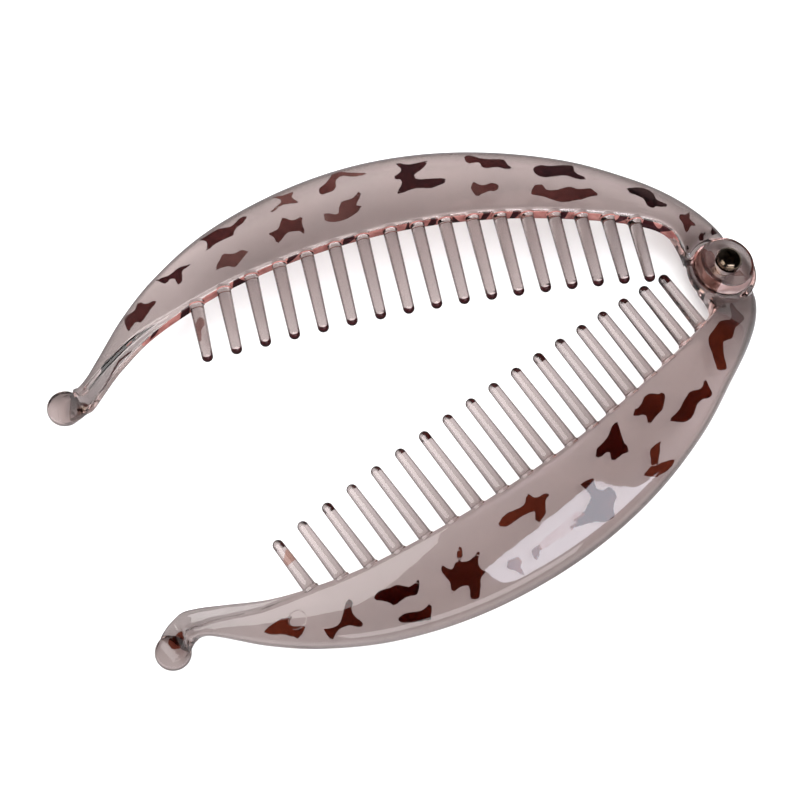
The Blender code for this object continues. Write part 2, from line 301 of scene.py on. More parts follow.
def spun(bm, outline, centre, axis, across, steps=SPIN_STEPS):
    """Spin (radius, distance along the axis) points about an axis through centre."""
    centre, axis, across = Vector(centre), Vector(axis), Vector(across)
    verts = [bm.verts.new(centre + across * r + axis * d) for r, d in outline]
    edges = [bm.edges.new(pair) for pair in zip(verts, verts[1:])]
    bmesh.ops.spin(bm, geom=verts + edges, cent=centre, axis=axis, angle=2 * pi,
                   steps=steps, use_merge=True)


def closed_up(bm):
    """Close the poles of spun shapes and face them outwards."""
    bmesh.ops.remove_doubles(bm, verts=bm.verts, dist=MERGE_DISTANCE)
    bmesh.ops.recalc_face_normals(bm, faces=bm.faces)
    return bm


def turned(outline, steps=SPIN_STEPS):
    """A round body about the screw."""
    bm = bmesh.new()
    spun(bm, outline, (0, 0, 0), (0, 0, 1), (1, 0, 0), steps)
    return closed_up(bm)


print("a round shape has", SPIN_STEPS, "sides")

# %% [markdown]
# A tooth is a round bar that grows out of the arm with a small flare, tapers, and ends
# in a half-round tip. An array modifier would repeat one tooth along a line, but the
# arm's inner edge is curved, so each tooth is spun at its own length and height.

# %% Teeth
TOOTH_PITCH = 5.72
TOOTH_BASE_R = 1.47
TOOTH_TIP_R = 1.2
TOOTH_SINK = 0.7
TOOTH_FLARE = 0.3
TOOTH_FROM = 0.4          # the plain bar begins this far from the arm's edge
TOOTH_RING_STEP = 0.9
TOOTH_SIDES = 32
TIP_OUT = -3.1
TIP_LEAN = 0.8
UPPER_TEETH = 17
UPPER_FIRST = 110.85
LOWER_TEETH = 18
LOWER_FIRST = 113.75


def tip_out_at(row_part):
    """Where a tooth's round end begins; row_part is 1 at the hook end of the row."""
    return TIP_OUT + TIP_LEAN * row_part


def add_tooth(bm, run, side, row_part):
    root_out, height = inner_edge_at(run)
    tip_out = tip_out_at(row_part)
    outline = [
        (0.0, root_out + TOOTH_SINK), (TOOTH_BASE_R + TOOTH_FLARE, root_out + TOOTH_SINK),
        (TOOTH_BASE_R + TOOTH_FLARE, root_out + 0.05),
        (TOOTH_BASE_R + 0.1, root_out - 0.12),
    ]
    rings = max(2, round((root_out - TOOTH_FROM - tip_out) / TOOTH_RING_STEP))
    for k in range(rings + 1):
        outline.append((mix(TOOTH_BASE_R, TOOTH_TIP_R, k / rings),
                        mix(root_out - TOOTH_FROM, tip_out, k / rings)))
    for step in range(1, ROUND_STEPS + 1):
        angle = step * pi / 2 / ROUND_STEPS
        outline.append((TOOTH_TIP_R * cos(angle), tip_out - TOOTH_TIP_R * sin(angle)))
    spun(bm, [(r, side * out) for r, out in outline], (-run, 0, height), (0, 1, 0),
         (1, 0, 0), steps=TOOTH_SIDES)


def teeth_row(side):
    """The number of teeth, and the run of the one nearest the hook."""
    return (UPPER_TEETH, UPPER_FIRST) if side > 0 else (LOWER_TEETH, LOWER_FIRST)


def add_teeth(bm, side):
    count, first = teeth_row(side)
    for k in range(count):
        add_tooth(bm, first - k * TOOTH_PITCH, side, 1 - k / (count - 1))


print("teeth:", UPPER_TEETH, "and", LOWER_TEETH, "with a pitch of", TOOTH_PITCH, "mm")

# %% [markdown]
# Each arm ends in a hook with a round disc, and the open clip rests on the two discs.
# The screw leans, so a disc spun about its direction would touch the table with one
# edge only. The disc's axis is the room's upright direction, turned into the arm's frame.

# %% Hook disc
DISC_RUN = 137.0
DISC_BOTTOM = -38.8
DISC_THICKNESS = 1.8
DISC_R = 3.8


def add_disc(bm, side):
    """The round end of the hook, flat on the table."""
    up = Matrix.Rotation(side * HALF_OPEN, 3, "Z") @ Vector((-sin(LEAN), 0, cos(LEAN)))
    across = up.cross((0, 1, 0)).normalized()
    half = DISC_THICKNESS / 2
    outline = [(0.6 * k, half) for k in range(6)]
    outline += rounded([(DISC_R - 0.6, half), (DISC_R - 0.2, half), (DISC_R, half - 0.4),
                        (DISC_R, -half + 0.3), (DISC_R - 0.2, -half),
                        (DISC_R - 0.5, -half)], 2, False)
    outline += [(DISC_R - 0.7, -half), (0.0, -half)]
    spun(bm, outline, (-DISC_RUN, 0.0, DISC_BOTTOM + half), up, across)


print("hook disc:", 2 * DISC_R, "mm across")

# %% [markdown]
# At the screw the arms lap over each other as two round ears. The front ear carries a
# boss with a counterbore for the screw's head, and the back ear is rounded off below.
# Each is a short list of corners, which is easy to measure and to change, and cutting
# the corners afterwards gives the soft edges of a moulding.

# %% Ears of the hinge
EAR_R = 7.7
EAR_SIDES = 96
EAR_CUTS = 2
LAP_GAP = 0.3
FLANGE_TOP = 1.7
EAR_BOTTOM = -2.7
EAR_UNDERSIDE_R = 5.6
SHOULDER_R = 8.1
BOSS_BASE_R = 6.5
BOSS_TOP_R = 6.0
BOSS_TOP = 4.9
DOME_R = 3.4
DOME_TOP = 5.2
COUNTERBORE_R = 3.0
COUNTERBORE_FLOOR = 3.9
BORE_R = 1.7
THROUGH = 20.0            # far enough to cut right through

# a flat face has one more point near its rounded edge, so that only the edge is round
FRONT_EAR = [
    (0.0, DOME_TOP), (DOME_R, DOME_TOP), (BOSS_TOP_R - 0.8, BOSS_TOP + 0.1),
    (BOSS_TOP_R - 0.5, BOSS_TOP + 0.05), (BOSS_TOP_R - 0.1, BOSS_TOP - 0.05),
    (BOSS_TOP_R, BOSS_TOP - 0.5), (BOSS_BASE_R - 0.3, FLANGE_TOP + 0.8),
    (BOSS_BASE_R, FLANGE_TOP + 0.2), (EAR_R - 0.4, FLANGE_TOP - 0.1),
    (EAR_R, FLANGE_TOP - 0.5), (EAR_R, LAP_GAP / 2 + 0.3), (EAR_R, LAP_GAP / 2),
    (EAR_R - 0.3, LAP_GAP / 2), (EAR_R - 0.5, LAP_GAP / 2), (0.0, LAP_GAP / 2),
]
BACK_EAR = [
    (0.0, -LAP_GAP / 2), (EAR_R - 0.8, -LAP_GAP / 2), (EAR_R - 0.6, -LAP_GAP / 2),
    (EAR_R - 0.2, -LAP_GAP / 2), (EAR_R - 0.4, -0.7), (EAR_R - 1.3, -2.0),
    (EAR_UNDERSIDE_R, EAR_BOTTOM), (EAR_UNDERSIDE_R - 0.6, EAR_BOTTOM),
    (EAR_UNDERSIDE_R - 0.8, EAR_BOTTOM), (0.0, EAR_BOTTOM),
]
BORE = [
    (0.0, THROUGH), (COUNTERBORE_R, THROUGH), (COUNTERBORE_R, COUNTERBORE_FLOOR),
    (BORE_R, COUNTERBORE_FLOOR), (BORE_R, -THROUGH), (0.0, -THROUGH),
]
print("boss:", 2 * BOSS_TOP_R, "mm across, bore:", 2 * BORE_R, "mm")

# %% [markdown]
# The loft and the round shapes become one moulded body with boolean operations: the
# place of the other arm's ear is cut away, the ear, the teeth and the disc are added,
# and the bore is cut last. Loose, overlapping shells would be quicker to make, but clear
# plastic would show every wall inside them.


# %% Join and cut
def object_from(name, bm):
    mesh = bpy.data.meshes.new(name)
    bm.to_mesh(mesh)
    bm.free()
    obj = bpy.data.objects.new(name, mesh)
    bpy.context.scene.collection.objects.link(obj)
    return obj


def carve(body, tool_bm, operation):
    """Apply one exact boolean to body and throw the tool away."""
    tool = object_from("tool", tool_bm)
    mod = body.modifiers.new("boolean", "BOOLEAN")
    mod.operation, mod.solver, mod.object = operation, "EXACT", tool
    graph = bpy.context.evaluated_depsgraph_get()
    done = bpy.data.meshes.new_from_object(body.evaluated_get(graph))
    body.modifiers.clear()
    body.data = done
    bpy.data.objects.remove(tool)


def comb_body(name, side):
    body = object_from(name, arm_loft(side))
    gap = LAP_GAP / 2
    low, high = (-THROUGH, gap) if side > 0 else (-gap, THROUGH)
    carve(body, turned([(0, high), (SHOULDER_R, high), (SHOULDER_R, low), (0, low)]),
          "DIFFERENCE")
    extra = bmesh.new()
    spun(extra, rounded(FRONT_EAR if side > 0 else BACK_EAR, EAR_CUTS, False), (0, 0, 0),
         (0, 0, 1), (1, 0, 0), steps=EAR_SIDES)
    add_disc(extra, side)
    add_teeth(extra, side)
    carve(body, closed_up(extra), "UNION")
    carve(body, turned(BORE), "DIFFERENCE")
    print(name, len(body.data.vertices), "vertices")
    return body


combs = {
    "upper": comb_body("upper_comb_clear", 1),
    "lower": comb_body("lower_comb_clear", -1),
}

# %% [markdown]
# The brown patches are colour inside the plastic. Each is charted as a short outline
# in (run, out) millimetres on the arm's face. Two tones go before it, for its end near
# the screw and its end near the hook, from 0, barely darker than the arm, to 1, almost
# black. An image would do as well, but it needs a picture and an unwrapped mesh, and
# its edges blur when one comes close.

# %% Charts of the upper comb's patches
def sector(inner_r, outer_r, start, end, steps=12):
    """A curved strip round the screw, between two angles in degrees."""
    turns = [radians(start + (end - start) * k / steps) for k in range(steps + 1)]
    out = [(outer_r * cos(t), outer_r * sin(t)) for t in turns]
    return tuple(out + [(inner_r * cos(t), inner_r * sin(t)) for t in reversed(turns)])


UPPER_PATCHES = (
    (0.7, 0.68, ((4.1, 9.75), (4.9, 9.45), (5.75, 9.45), (6.5, 8.6), (7.1, 7.9), (7.6, 7.9), (7.75, 8.5),
        (8.0, 9.6), (8.5, 10.25), (8.8, 10.75), (8.4, 11.4), (8.0, 11.75), (6.75, 11.8), (5.75, 12.4),
        (5.1, 13.0), (4.75, 12.6), (5.1, 12.0), (5.75, 11.25), (5.75, 10.9), (5.1, 10.25), (4.5, 10.0))),
    (0.98, 1.0, ((10.75, 13.6), (11.5, 13.1), (12.75, 12.9), (14.0, 13.0), (14.6, 12.55), (15.25, 12.6),
        (16.0, 13.1), (16.2, 14.1), (16.4, 15.0), (17.0, 15.5), (18.0, 16.0), (19.0, 16.5),
        (19.25, 17.0), (19.4, 17.9), (18.5, 17.95), (17.25, 18.1), (16.0, 18.05), (14.75, 17.75),
        (13.9, 17.1), (13.3, 16.25), (13.4, 15.25), (13.1, 14.7), (12.25, 14.25), (11.25, 13.95))),
    (0.77, 0.64, ((26.1, 16.7), (26.5, 16.45), (27.75, 16.45), (29.0, 16.25), (30.0, 15.9),
        (31.25, 15.8), (33.75, 15.6), (35.0, 15.8), (36.25, 16.45), (37.25, 17.1), (38.25, 17.75),
        (39.5, 18.2), (40.5, 18.55), (40.25, 19.4), (39.75, 20.1), (39.1, 20.9), (38.5, 21.05),
        (37.5, 20.95), (37.1, 20.25), (37.0, 19.4), (36.0, 19.1), (34.75, 19.0), (33.5, 19.25),
        (32.5, 19.55), (31.5, 19.5), (30.75, 19.0), (30.0, 18.6), (28.5, 18.6), (27.4, 18.7),
        (26.75, 17.75))),
    (0.96, 0.93, ((27.4, 21.4), (27.75, 21.1), (28.75, 21.2), (29.6, 21.5), (30.4, 22.0), (31.25, 22.55),
        (32.25, 22.8), (35.0, 22.75), (36.5, 22.8), (37.4, 23.25), (37.9, 24.0), (38.1, 24.6),
        (37.95, 25.6), (37.25, 26.05), (36.25, 26.4), (35.0, 26.1), (34.25, 25.8), (31.0, 25.75),
        (29.75, 25.55), (29.0, 25.4), (29.25, 24.5), (29.4, 23.6), (29.0, 22.75), (28.0, 22.05),
        (27.4, 21.75))),
    (0.25, 0.25, ((25.2, 20.8), (26.0, 20.8), (25.7, 21.5))),
    (0.25, 0.25, ((26.5, 20.4), (27.1, 20.5), (26.8, 21.0))),
    (0.65, 0.57, ((46.6, 21.75), (47.0, 21.1), (47.75, 20.6), (48.75, 20.9), (50.0, 20.55),
        (51.0, 20.25), (51.5, 19.8), (52.0, 20.0), (52.25, 20.9), (52.5, 21.75), (52.45, 22.4),
        (52.0, 23.25), (51.6, 24.05), (51.0, 23.6), (50.5, 22.9), (49.75, 22.6), (48.75, 22.75),
        (48.0, 23.05), (47.1, 22.75), (46.6, 22.4))),
    (0.93, 0.74, ((42.1, 26.4), (43.0, 26.25), (43.9, 26.4), (44.5, 26.8), (45.1, 27.25), (46.5, 27.25),
        (47.75, 27.25), (48.6, 27.6), (48.5, 28.5), (48.4, 29.0), (49.0, 29.4), (50.0, 29.3),
        (51.25, 29.3), (51.4, 30.25), (51.25, 31.25), (50.6, 31.8), (49.75, 31.6), (48.75, 30.9),
        (48.0, 30.4), (47.0, 30.0), (45.75, 29.75), (44.25, 29.5), (43.1, 29.1), (43.0, 28.0),
        (42.9, 27.25), (42.4, 26.8))),
    (0.91, 0.92, ((56.7, 25.6), (57.5, 24.75), (58.75, 24.4), (60.25, 23.9), (61.25, 24.1), (63.0, 24.6),
        (64.5, 24.55), (66.0, 24.1), (67.5, 23.95), (67.6, 24.25), (67.0, 25.1), (66.25, 26.0),
        (65.75, 27.0), (65.9, 28.0), (66.75, 28.0), (67.25, 28.4), (66.75, 29.0), (65.75, 29.5),
        (65.1, 30.1), (64.95, 30.9), (65.4, 31.75), (65.6, 32.55), (65.0, 32.55), (64.0, 31.95),
        (63.0, 31.55), (61.5, 31.6), (60.0, 31.75), (59.0, 31.8), (59.5, 30.9), (60.5, 29.9),
        (61.75, 29.1), (62.75, 28.5), (62.95, 27.75), (62.75, 27.05), (61.75, 26.8), (60.5, 26.7),
        (59.0, 26.45), (57.75, 26.3), (57.0, 26.0))),
    (0.68, 0.32, ((74.25, 26.4), (74.75, 25.75), (75.1, 25.0), (75.75, 24.1), (76.4, 23.25),
        (76.0, 22.9), (75.25, 22.55), (75.75, 22.0), (76.6, 21.3), (77.5, 20.8), (78.75, 20.25),
        (80.0, 20.05), (81.25, 20.05), (82.5, 20.5), (83.25, 20.95), (83.1, 21.75), (83.05, 22.6),
        (82.75, 23.0), (82.4, 22.9), (81.6, 22.4), (81.0, 22.0), (80.2, 22.0), (79.75, 23.5),
        (79.1, 24.75), (78.75, 25.1), (77.5, 25.05), (76.5, 25.2), (75.75, 25.9), (75.0, 26.7),
        (74.5, 26.6))),
    (0.36, 0.72, ((71.75, 31.0), (73.0, 30.9), (74.75, 31.0), (75.75, 31.4), (76.75, 32.0),
        (77.75, 31.75), (78.5, 31.0), (78.75, 30.0), (79.0, 29.0), (80.0, 28.25), (81.25, 28.1),
        (82.25, 27.9), (82.5, 28.0), (82.4, 29.0), (82.25, 30.0), (81.5, 30.3), (80.5, 30.9),
        (79.75, 31.75), (78.75, 32.9), (77.75, 33.5), (77.0, 33.5), (76.0, 32.8), (74.75, 32.25),
        (73.25, 31.75), (72.25, 31.4))),
    (0.66, 0.67, ((87.65, 18.9), (87.95, 19.05), (88.5, 19.9), (89.5, 20.3), (90.6, 20.45),
        (91.45, 20.0), (92.3, 19.05), (93.1, 18.35), (93.6, 18.2), (93.55, 19.3), (93.8, 20.3),
        (94.65, 21.3), (93.4, 21.6), (92.55, 21.8), (92.0, 22.55), (91.6, 23.5), (91.0, 24.5),
        (90.3, 24.1), (89.6, 23.25), (88.65, 23.1), (87.65, 23.5), (87.1, 23.95), (87.25, 23.1),
        (87.65, 22.0), (87.65, 20.45))),
    (0.52, 0.48, ((86.8, 27.6), (87.25, 27.4), (88.65, 27.65), (89.75, 27.85), (90.6, 27.6),
        (91.7, 27.0), (92.7, 26.6), (93.0, 26.75), (92.0, 27.6), (90.9, 28.15), (90.2, 28.7),
        (90.05, 29.4), (90.6, 29.95), (91.7, 30.6), (90.6, 30.65), (89.2, 30.4), (88.1, 30.65),
        (87.4, 30.85), (87.4, 30.25), (87.95, 29.55), (87.8, 28.85), (87.25, 28.15))),
    (0.4, 0.56, ((99.15, 18.2), (100.1, 17.4), (101.1, 16.5), (101.8, 15.75), (102.2, 15.35),
        (102.9, 15.4), (103.5, 15.95), (104.6, 16.1), (105.7, 15.9), (106.4, 15.55), (106.15, 16.25),
        (105.6, 17.2), (104.9, 18.2), (104.3, 19.05), (103.8, 19.3), (102.9, 18.9), (101.8, 18.6),
        (101.0, 18.9), (100.25, 19.1), (99.7, 18.6))),
    (0.76, 0.83, ((107.0, 21.2), (106.55, 22.4), (106.3, 23.4), (106.85, 24.1), (107.8, 24.8),
        (106.85, 25.0), (105.7, 25.35), (104.6, 25.8), (103.5, 26.1), (102.4, 25.9), (101.0, 25.7),
        (100.1, 26.3), (99.3, 27.0), (98.4, 27.6), (97.3, 27.3), (97.9, 26.6), (98.7, 25.75),
        (99.85, 25.2), (100.7, 24.35), (101.1, 23.25), (102.4, 23.0), (104.0, 22.7), (105.45, 22.1),
        (106.4, 21.4))),
    (0.86, 0.9, ((110.35, 19.1), (111.05, 18.7), (112.0, 18.35), (112.5, 17.9), (112.6, 16.8),
        (112.85, 15.7), (113.4, 15.0), (113.85, 15.0), (114.0, 15.95), (114.1, 16.8), (114.95, 17.1),
        (115.5, 16.5), (116.0, 16.25), (116.5, 16.8), (117.2, 17.65), (117.5, 18.2), (116.35, 18.15),
        (115.25, 18.05), (114.4, 18.35), (113.55, 18.9), (112.6, 19.3), (111.6, 19.2))),
    (0.78, 0.79, ((118.45, 12.75), (118.9, 12.05), (119.7, 11.5), (120.85, 10.2), (121.7, 9.25),
        (122.1, 8.8), (122.5, 9.1), (123.15, 9.5), (123.9, 8.7), (124.75, 7.8), (124.9, 8.7),
        (125.05, 9.8), (124.9, 11.2), (124.6, 12.1), (123.65, 12.2), (122.8, 12.4), (122.25, 13.3),
        (121.7, 14.2), (121.1, 13.85), (120.7, 13.0), (119.7, 12.9), (119.0, 13.1))),
    (0.25, 0.25, ((110.4, 6.2), (111.4, 6.2), (112.2, 4.9), (112.2, 0.9), (111.7, 0.9), (111.3, 3.6),
        (110.2, 4.4))),
    (1.0, 0.85, ((1.6, 7.6), (0.2, 8.0), (-1.6, 8.8), (-1.4, 10.6), (-0.2, 10.1), (0.7, 8.9))),
    (0.95, 0.75, ((4.6, 6.2), (4.3, 7.3), (3.2, 8.4), (2.0, 8.3), (2.9, 7.5), (3.2, 6.5))),
    (0.85, 0.85, ((8.3, 3.9), (7.6, 5.3), (7.2, 4.5))),
    (0.8, 0.8, ((124.6, 3.6), (127.3, 2.3), (128.7, 0.5), (130.3, -1.5), (131.8, -2.6), (131.9, -2.2),
        (130.5, -1.1), (128.95, 0.85), (127.55, 2.7), (124.7, 3.9))),
    (0.75, 0.75, ((133.7, -3.7), (134.9, -1.7), (135.3, -2.0), (134.3, -3.6), (135.7, -2.9),
        (135.9, -3.2), (134.7, -4.3), (134.5, -4.1), (134.9, -3.7))),
    (0.1, 0.1, ((4.6, 3.0), (3.0, 2.6), (2.6, 1.0), (3.4, -1.0), (4.9, -1.6), (5.3, 0.5))),
    # painted shade: a dark refracted image of a shadow beside the screw, not a patch
    (0.0, 0.0, ((-1.3, -1.3), (-2.8, -3.8), (-0.5, -3.8), (0.6, -3.0))),
    (0.25, 0.25, sector(5.0, 6.9, -60, 38)),
    (0.4, 0.4, sector(5.3, 6.1, 112, 222)),
)
print(len(UPPER_PATCHES), "patches on the upper comb")

# %% Charts of the lower comb's patches
LOWER_PATCHES = (
    (0.65, 0.72, ((5.25, 7.75), (6.25, 8.25), (7.0, 9.0), (7.75, 9.9), (8.6, 10.9), (10.0, 11.6),
        (11.25, 11.25), (12.75, 10.9), (14.0, 11.4), (15.5, 12.0), (17.25, 12.45), (18.25, 13.25),
        (19.0, 14.25), (19.4, 16.0), (20.0, 17.5), (20.6, 19.5), (20.0, 20.0), (19.0, 20.3),
        (18.1, 20.3), (17.95, 19.5), (17.4, 18.0), (16.5, 16.5), (15.4, 15.1), (14.0, 15.25),
        (13.0, 15.45), (12.0, 14.9), (11.0, 14.1), (9.75, 13.5), (8.0, 13.25), (6.25, 12.75),
        (5.5, 12.0), (5.75, 11.0), (5.75, 9.75), (5.4, 8.75))),
    (0.9, 0.9, ((24.25, 20.0), (25.0, 20.0), (25.6, 20.9), (27.0, 21.1), (28.0, 20.6), (29.25, 20.4),
        (30.5, 21.0), (31.75, 21.5), (33.0, 22.25), (34.25, 22.6), (36.0, 22.9), (36.7, 23.2),
        (36.0, 23.6), (35.0, 24.3), (33.75, 25.0), (32.25, 25.1), (31.0, 24.75), (30.0, 23.9),
        (29.0, 23.25), (27.5, 23.0), (26.25, 23.4), (25.4, 23.55), (24.5, 23.0), (24.5, 22.0),
        (24.4, 21.0))),
    (0.83, 0.9, ((34.1, 17.4), (35.5, 17.5), (36.2, 16.8), (37.0, 16.3), (38.7, 16.4), (39.7, 17.2),
        (41.0, 17.6), (41.7, 17.45), (42.8, 18.2), (42.6, 18.7), (41.7, 19.0), (40.5, 19.3),
        (40.4, 19.8), (40.8, 20.7), (41.1, 21.55), (40.3, 21.5), (39.4, 21.2), (38.5, 20.9),
        (36.5, 20.5), (35.5, 19.6), (34.5, 18.8))),
    (0.96, 0.96, ((46.5, 17.6), (47.2, 17.6), (48.4, 18.0), (49.6, 18.9), (50.5, 19.3), (51.5, 19.6),
        (52.5, 19.75), (53.5, 19.9), (54.9, 21.5), (53.75, 21.7), (51.75, 21.55), (51.5, 22.0),
        (51.8, 22.75), (52.1, 23.75), (51.2, 23.85), (49.6, 23.6), (48.0, 23.9), (47.5, 23.0),
        (47.75, 21.8), (47.3, 20.2), (46.8, 18.6))),
    (0.74, 0.74, ((40.35, 25.4), (43.6, 25.8), (44.2, 26.7), (44.7, 27.8), (45.3, 28.4), (44.6, 28.85),
        (43.5, 28.85), (42.2, 27.5), (41.3, 26.4))),
    (0.64, 0.67, ((39.8, 30.0), (40.8, 29.7), (41.8, 29.5), (43.0, 29.15), (44.3, 29.2), (44.8, 28.8),
        (45.6, 28.7), (46.5, 29.0), (47.9, 29.35), (46.7, 30.2), (45.8, 30.7), (45.3, 31.15),
        (44.7, 31.0), (43.9, 31.05), (42.6, 31.1), (41.0, 30.9), (40.1, 30.4))),
    (0.85, 0.85, ((57.25, 24.4), (58.5, 24.1), (60.0, 23.9), (60.5, 24.05), (60.0, 25.0), (59.85, 26.2),
        (59.8, 27.3), (61.0, 28.0), (62.8, 28.9), (65.3, 29.5), (66.6, 30.1), (63.5, 31.0), (61.5, 31.7),
        (60.5, 32.5), (59.0, 32.85), (57.6, 33.0), (56.9, 31.4), (56.0, 30.5), (55.0, 29.9),
        (54.9, 28.6), (55.4, 27.5), (56.8, 27.5), (57.9, 26.9), (57.9, 25.6))),
    (0.04, 0.04, ((64.0, 27.9), (66.5, 28.2), (70.0, 28.5), (73.8, 28.9), (74.2, 30.2), (71.0, 30.4),
        (66.6, 30.6), (65.3, 29.5), (62.8, 28.9))),
    (0.6, 0.6, ((74.0, 29.2), (75.0, 29.0), (75.9, 29.2), (76.2, 30.2), (76.1, 31.2), (75.5, 31.1),
        (74.6, 30.4))),
    (0.3, 0.7, ((78.6, 28.6), (81.0, 28.1), (81.75, 29.3), (80.6, 30.4), (80.15, 31.2), (79.9, 32.3),
        (79.3, 32.0), (79.4, 30.6), (78.5, 29.8))),
    (0.76, 0.64, ((66.6, 21.8), (67.7, 21.45), (69.0, 21.4), (69.9, 21.1), (70.2, 20.4), (70.6, 19.6),
        (71.0, 19.75), (71.5, 20.25), (72.2, 20.9), (73.0, 21.1), (74.0, 20.95), (75.2, 20.6),
        (76.2, 20.45), (77.5, 20.55), (78.2, 20.9), (79.0, 21.1), (78.9, 21.45), (78.0, 22.4),
        (77.0, 22.6), (75.5, 22.6), (74.0, 22.6), (72.5, 22.9), (71.1, 22.9), (71.25, 23.4),
        (71.9, 24.25), (72.2, 25.0), (72.0, 25.4), (71.5, 25.5), (70.6, 25.25), (69.6, 24.9),
        (69.1, 24.0), (68.5, 23.0), (68.1, 22.6), (67.1, 22.25))),
    (0.7, 0.75, ((86.9, 20.2), (87.6, 20.2), (88.25, 20.9), (89.0, 21.75), (89.0, 22.2), (88.6, 22.3),
        (88.0, 22.35), (87.6, 22.0), (87.25, 21.0))),
    (0.9, 0.9, ((84.4, 23.3), (85.0, 23.2), (86.0, 23.5), (87.0, 23.7), (87.9, 23.4), (88.5, 22.9),
        (89.1, 22.5), (89.6, 22.3), (90.2, 22.8), (90.8, 23.0), (91.4, 22.9), (91.5, 22.2), (91.7, 21.4),
        (92.0, 21.2), (92.5, 21.6), (92.75, 22.2), (92.6, 23.2), (92.4, 25.0), (92.9, 26.0),
        (93.35, 26.8), (92.6, 26.75), (91.2, 26.75), (90.4, 27.1), (89.8, 27.3), (89.7, 27.8),
        (90.1, 28.7), (90.7, 29.7), (90.3, 30.1), (89.6, 30.6), (89.1, 30.6), (88.5, 29.9), (87.9, 29.1),
        (87.2, 28.0), (86.6, 27.5), (85.5, 27.4), (86.1, 26.7), (86.1, 25.6), (86.0, 24.9), (85.4, 24.3),
        (84.7, 23.7))),
    (1.0, 0.99, ((96.5, 20.15), (97.75, 20.9), (98.6, 20.95), (99.5, 20.75), (100.2, 19.9),
        (100.9, 19.0), (102.0, 18.75), (103.0, 18.5), (104.0, 18.0), (104.75, 17.9), (105.4, 18.1),
        (106.0, 18.4), (105.9, 18.9), (105.0, 19.75), (104.25, 20.5), (103.9, 21.25), (103.4, 22.1),
        (102.5, 22.05), (100.75, 22.05), (99.75, 22.6), (98.75, 22.95), (98.0, 22.4), (97.5, 21.6),
        (97.0, 20.75))),
    (0.92, 0.99, ((97.1, 25.5), (98.1, 25.9), (99.4, 26.05), (100.6, 25.6), (101.5, 25.0),
        (102.25, 24.6), (103.25, 24.4), (104.1, 24.5), (104.3, 25.0), (103.9, 25.6), (102.75, 26.4),
        (101.5, 27.1), (100.0, 27.9), (99.0, 28.45), (98.5, 27.75), (97.9, 26.9), (97.5, 26.25))),
    (0.9, 0.85, ((110.0, 15.4), (109.4, 16.25), (109.6, 16.75), (110.4, 17.4), (110.6, 18.0),
        (110.6, 18.75), (110.5, 19.5), (110.1, 20.5), (109.95, 21.1), (110.25, 21.5), (110.9, 21.25),
        (111.5, 20.5), (112.25, 19.75), (113.25, 19.25), (114.25, 19.1), (115.1, 19.4), (116.1, 20.0),
        (116.3, 19.25), (116.4, 18.0), (116.4, 17.2), (115.75, 17.6), (115.0, 18.1), (114.0, 18.3),
        (113.25, 18.1), (112.4, 17.45), (111.5, 16.6), (110.75, 15.9))),
    (0.76, 0.67, ((119.9, 11.25), (120.5, 11.1), (121.75, 10.4), (123.0, 10.2), (123.75, 10.05),
        (125.4, 10.1), (124.75, 11.0), (124.0, 11.9), (123.1, 12.6), (122.25, 13.5), (121.6, 14.4),
        (120.9, 15.4), (120.0, 15.3), (119.25, 14.9), (118.75, 14.6), (119.5, 13.9), (120.5, 13.25),
        (121.0, 12.5), (120.8, 11.9), (120.1, 11.55))),
    (0.2, 0.2, ((112.3, 2.3), (115.3, 2.6), (115.2, 1.2), (113.6, -0.4), (112.6, -0.4))),
    (0.6, 0.35, ((134.9, -1.8), (135.4, 0.1), (136.4, 0.7), (137.4, -0.4), (137.4, -1.8), (137.1, -2.2),
        (136.0, -1.7))),
)
print(len(LOWER_PATCHES), "patches on the lower comb")

# %% [markdown]
# Every vertex of an arm stores its distance to the nearest outline, below zero inside
# a patch, and that patch's tone. The material draws the patch's edge where the distance
# passes zero, so the edge stays crisp even between two vertices. The painted shade on the
# inner wall and on the tips of the teeth is stored in the same two values.

# %% Distance to the nearest dark place
FAR = 3.0                 # distances are stored up to this many millimetres


def distance_to(outline, points):
    """Signed distance of many points to one outline, below zero inside it."""
    corners = np.array(outline)
    ahead = np.roll(corners, -1, axis=0) - corners
    nearest = np.full(len(points), np.inf)
    inside = np.zeros(len(points), bool)
    for (a, b), (du, dv) in zip(corners, ahead):
        u, v = points[:, 0] - a, points[:, 1] - b
        t = np.clip((u * du + v * dv) / (du * du + dv * dv), 0, 1)
        nearest = np.minimum(nearest, np.hypot(u - t * du, v - t * dv))
        crosses = (b > points[:, 1]) != (b + dv > points[:, 1])
        slope = du / dv if abs(dv) > 1e-9 else 0.0
        inside ^= crosses & (u < v * slope)
    return np.where(inside, -nearest, nearest)


def lay_over(field, form, form_tone, allowed=True):
    """Add a dark form to (distance, tone) where it is nearer than what is there."""
    distance, tone = field
    nearer = allowed & (form < distance)
    return np.where(nearer, form, distance), np.where(nearer, form_tone, tone)


def add_patches(field, points, patches):
    for near_tone, far_tone, outline in patches:
        runs = [run for run, _ in outline]
        along = np.clip((points[:, 0] - min(runs)) / (max(runs) - min(runs)), 0, 1)
        tone = mix(near_tone, far_tone, along)
        field = lay_over(field, distance_to(outline, points), tone)
    return field


probes = np.array(((2.0, 2.0), (5.0, 2.0)))
print("distances to a square:", distance_to(((1, 1), (3, 1), (3, 3), (1, 3)), probes))
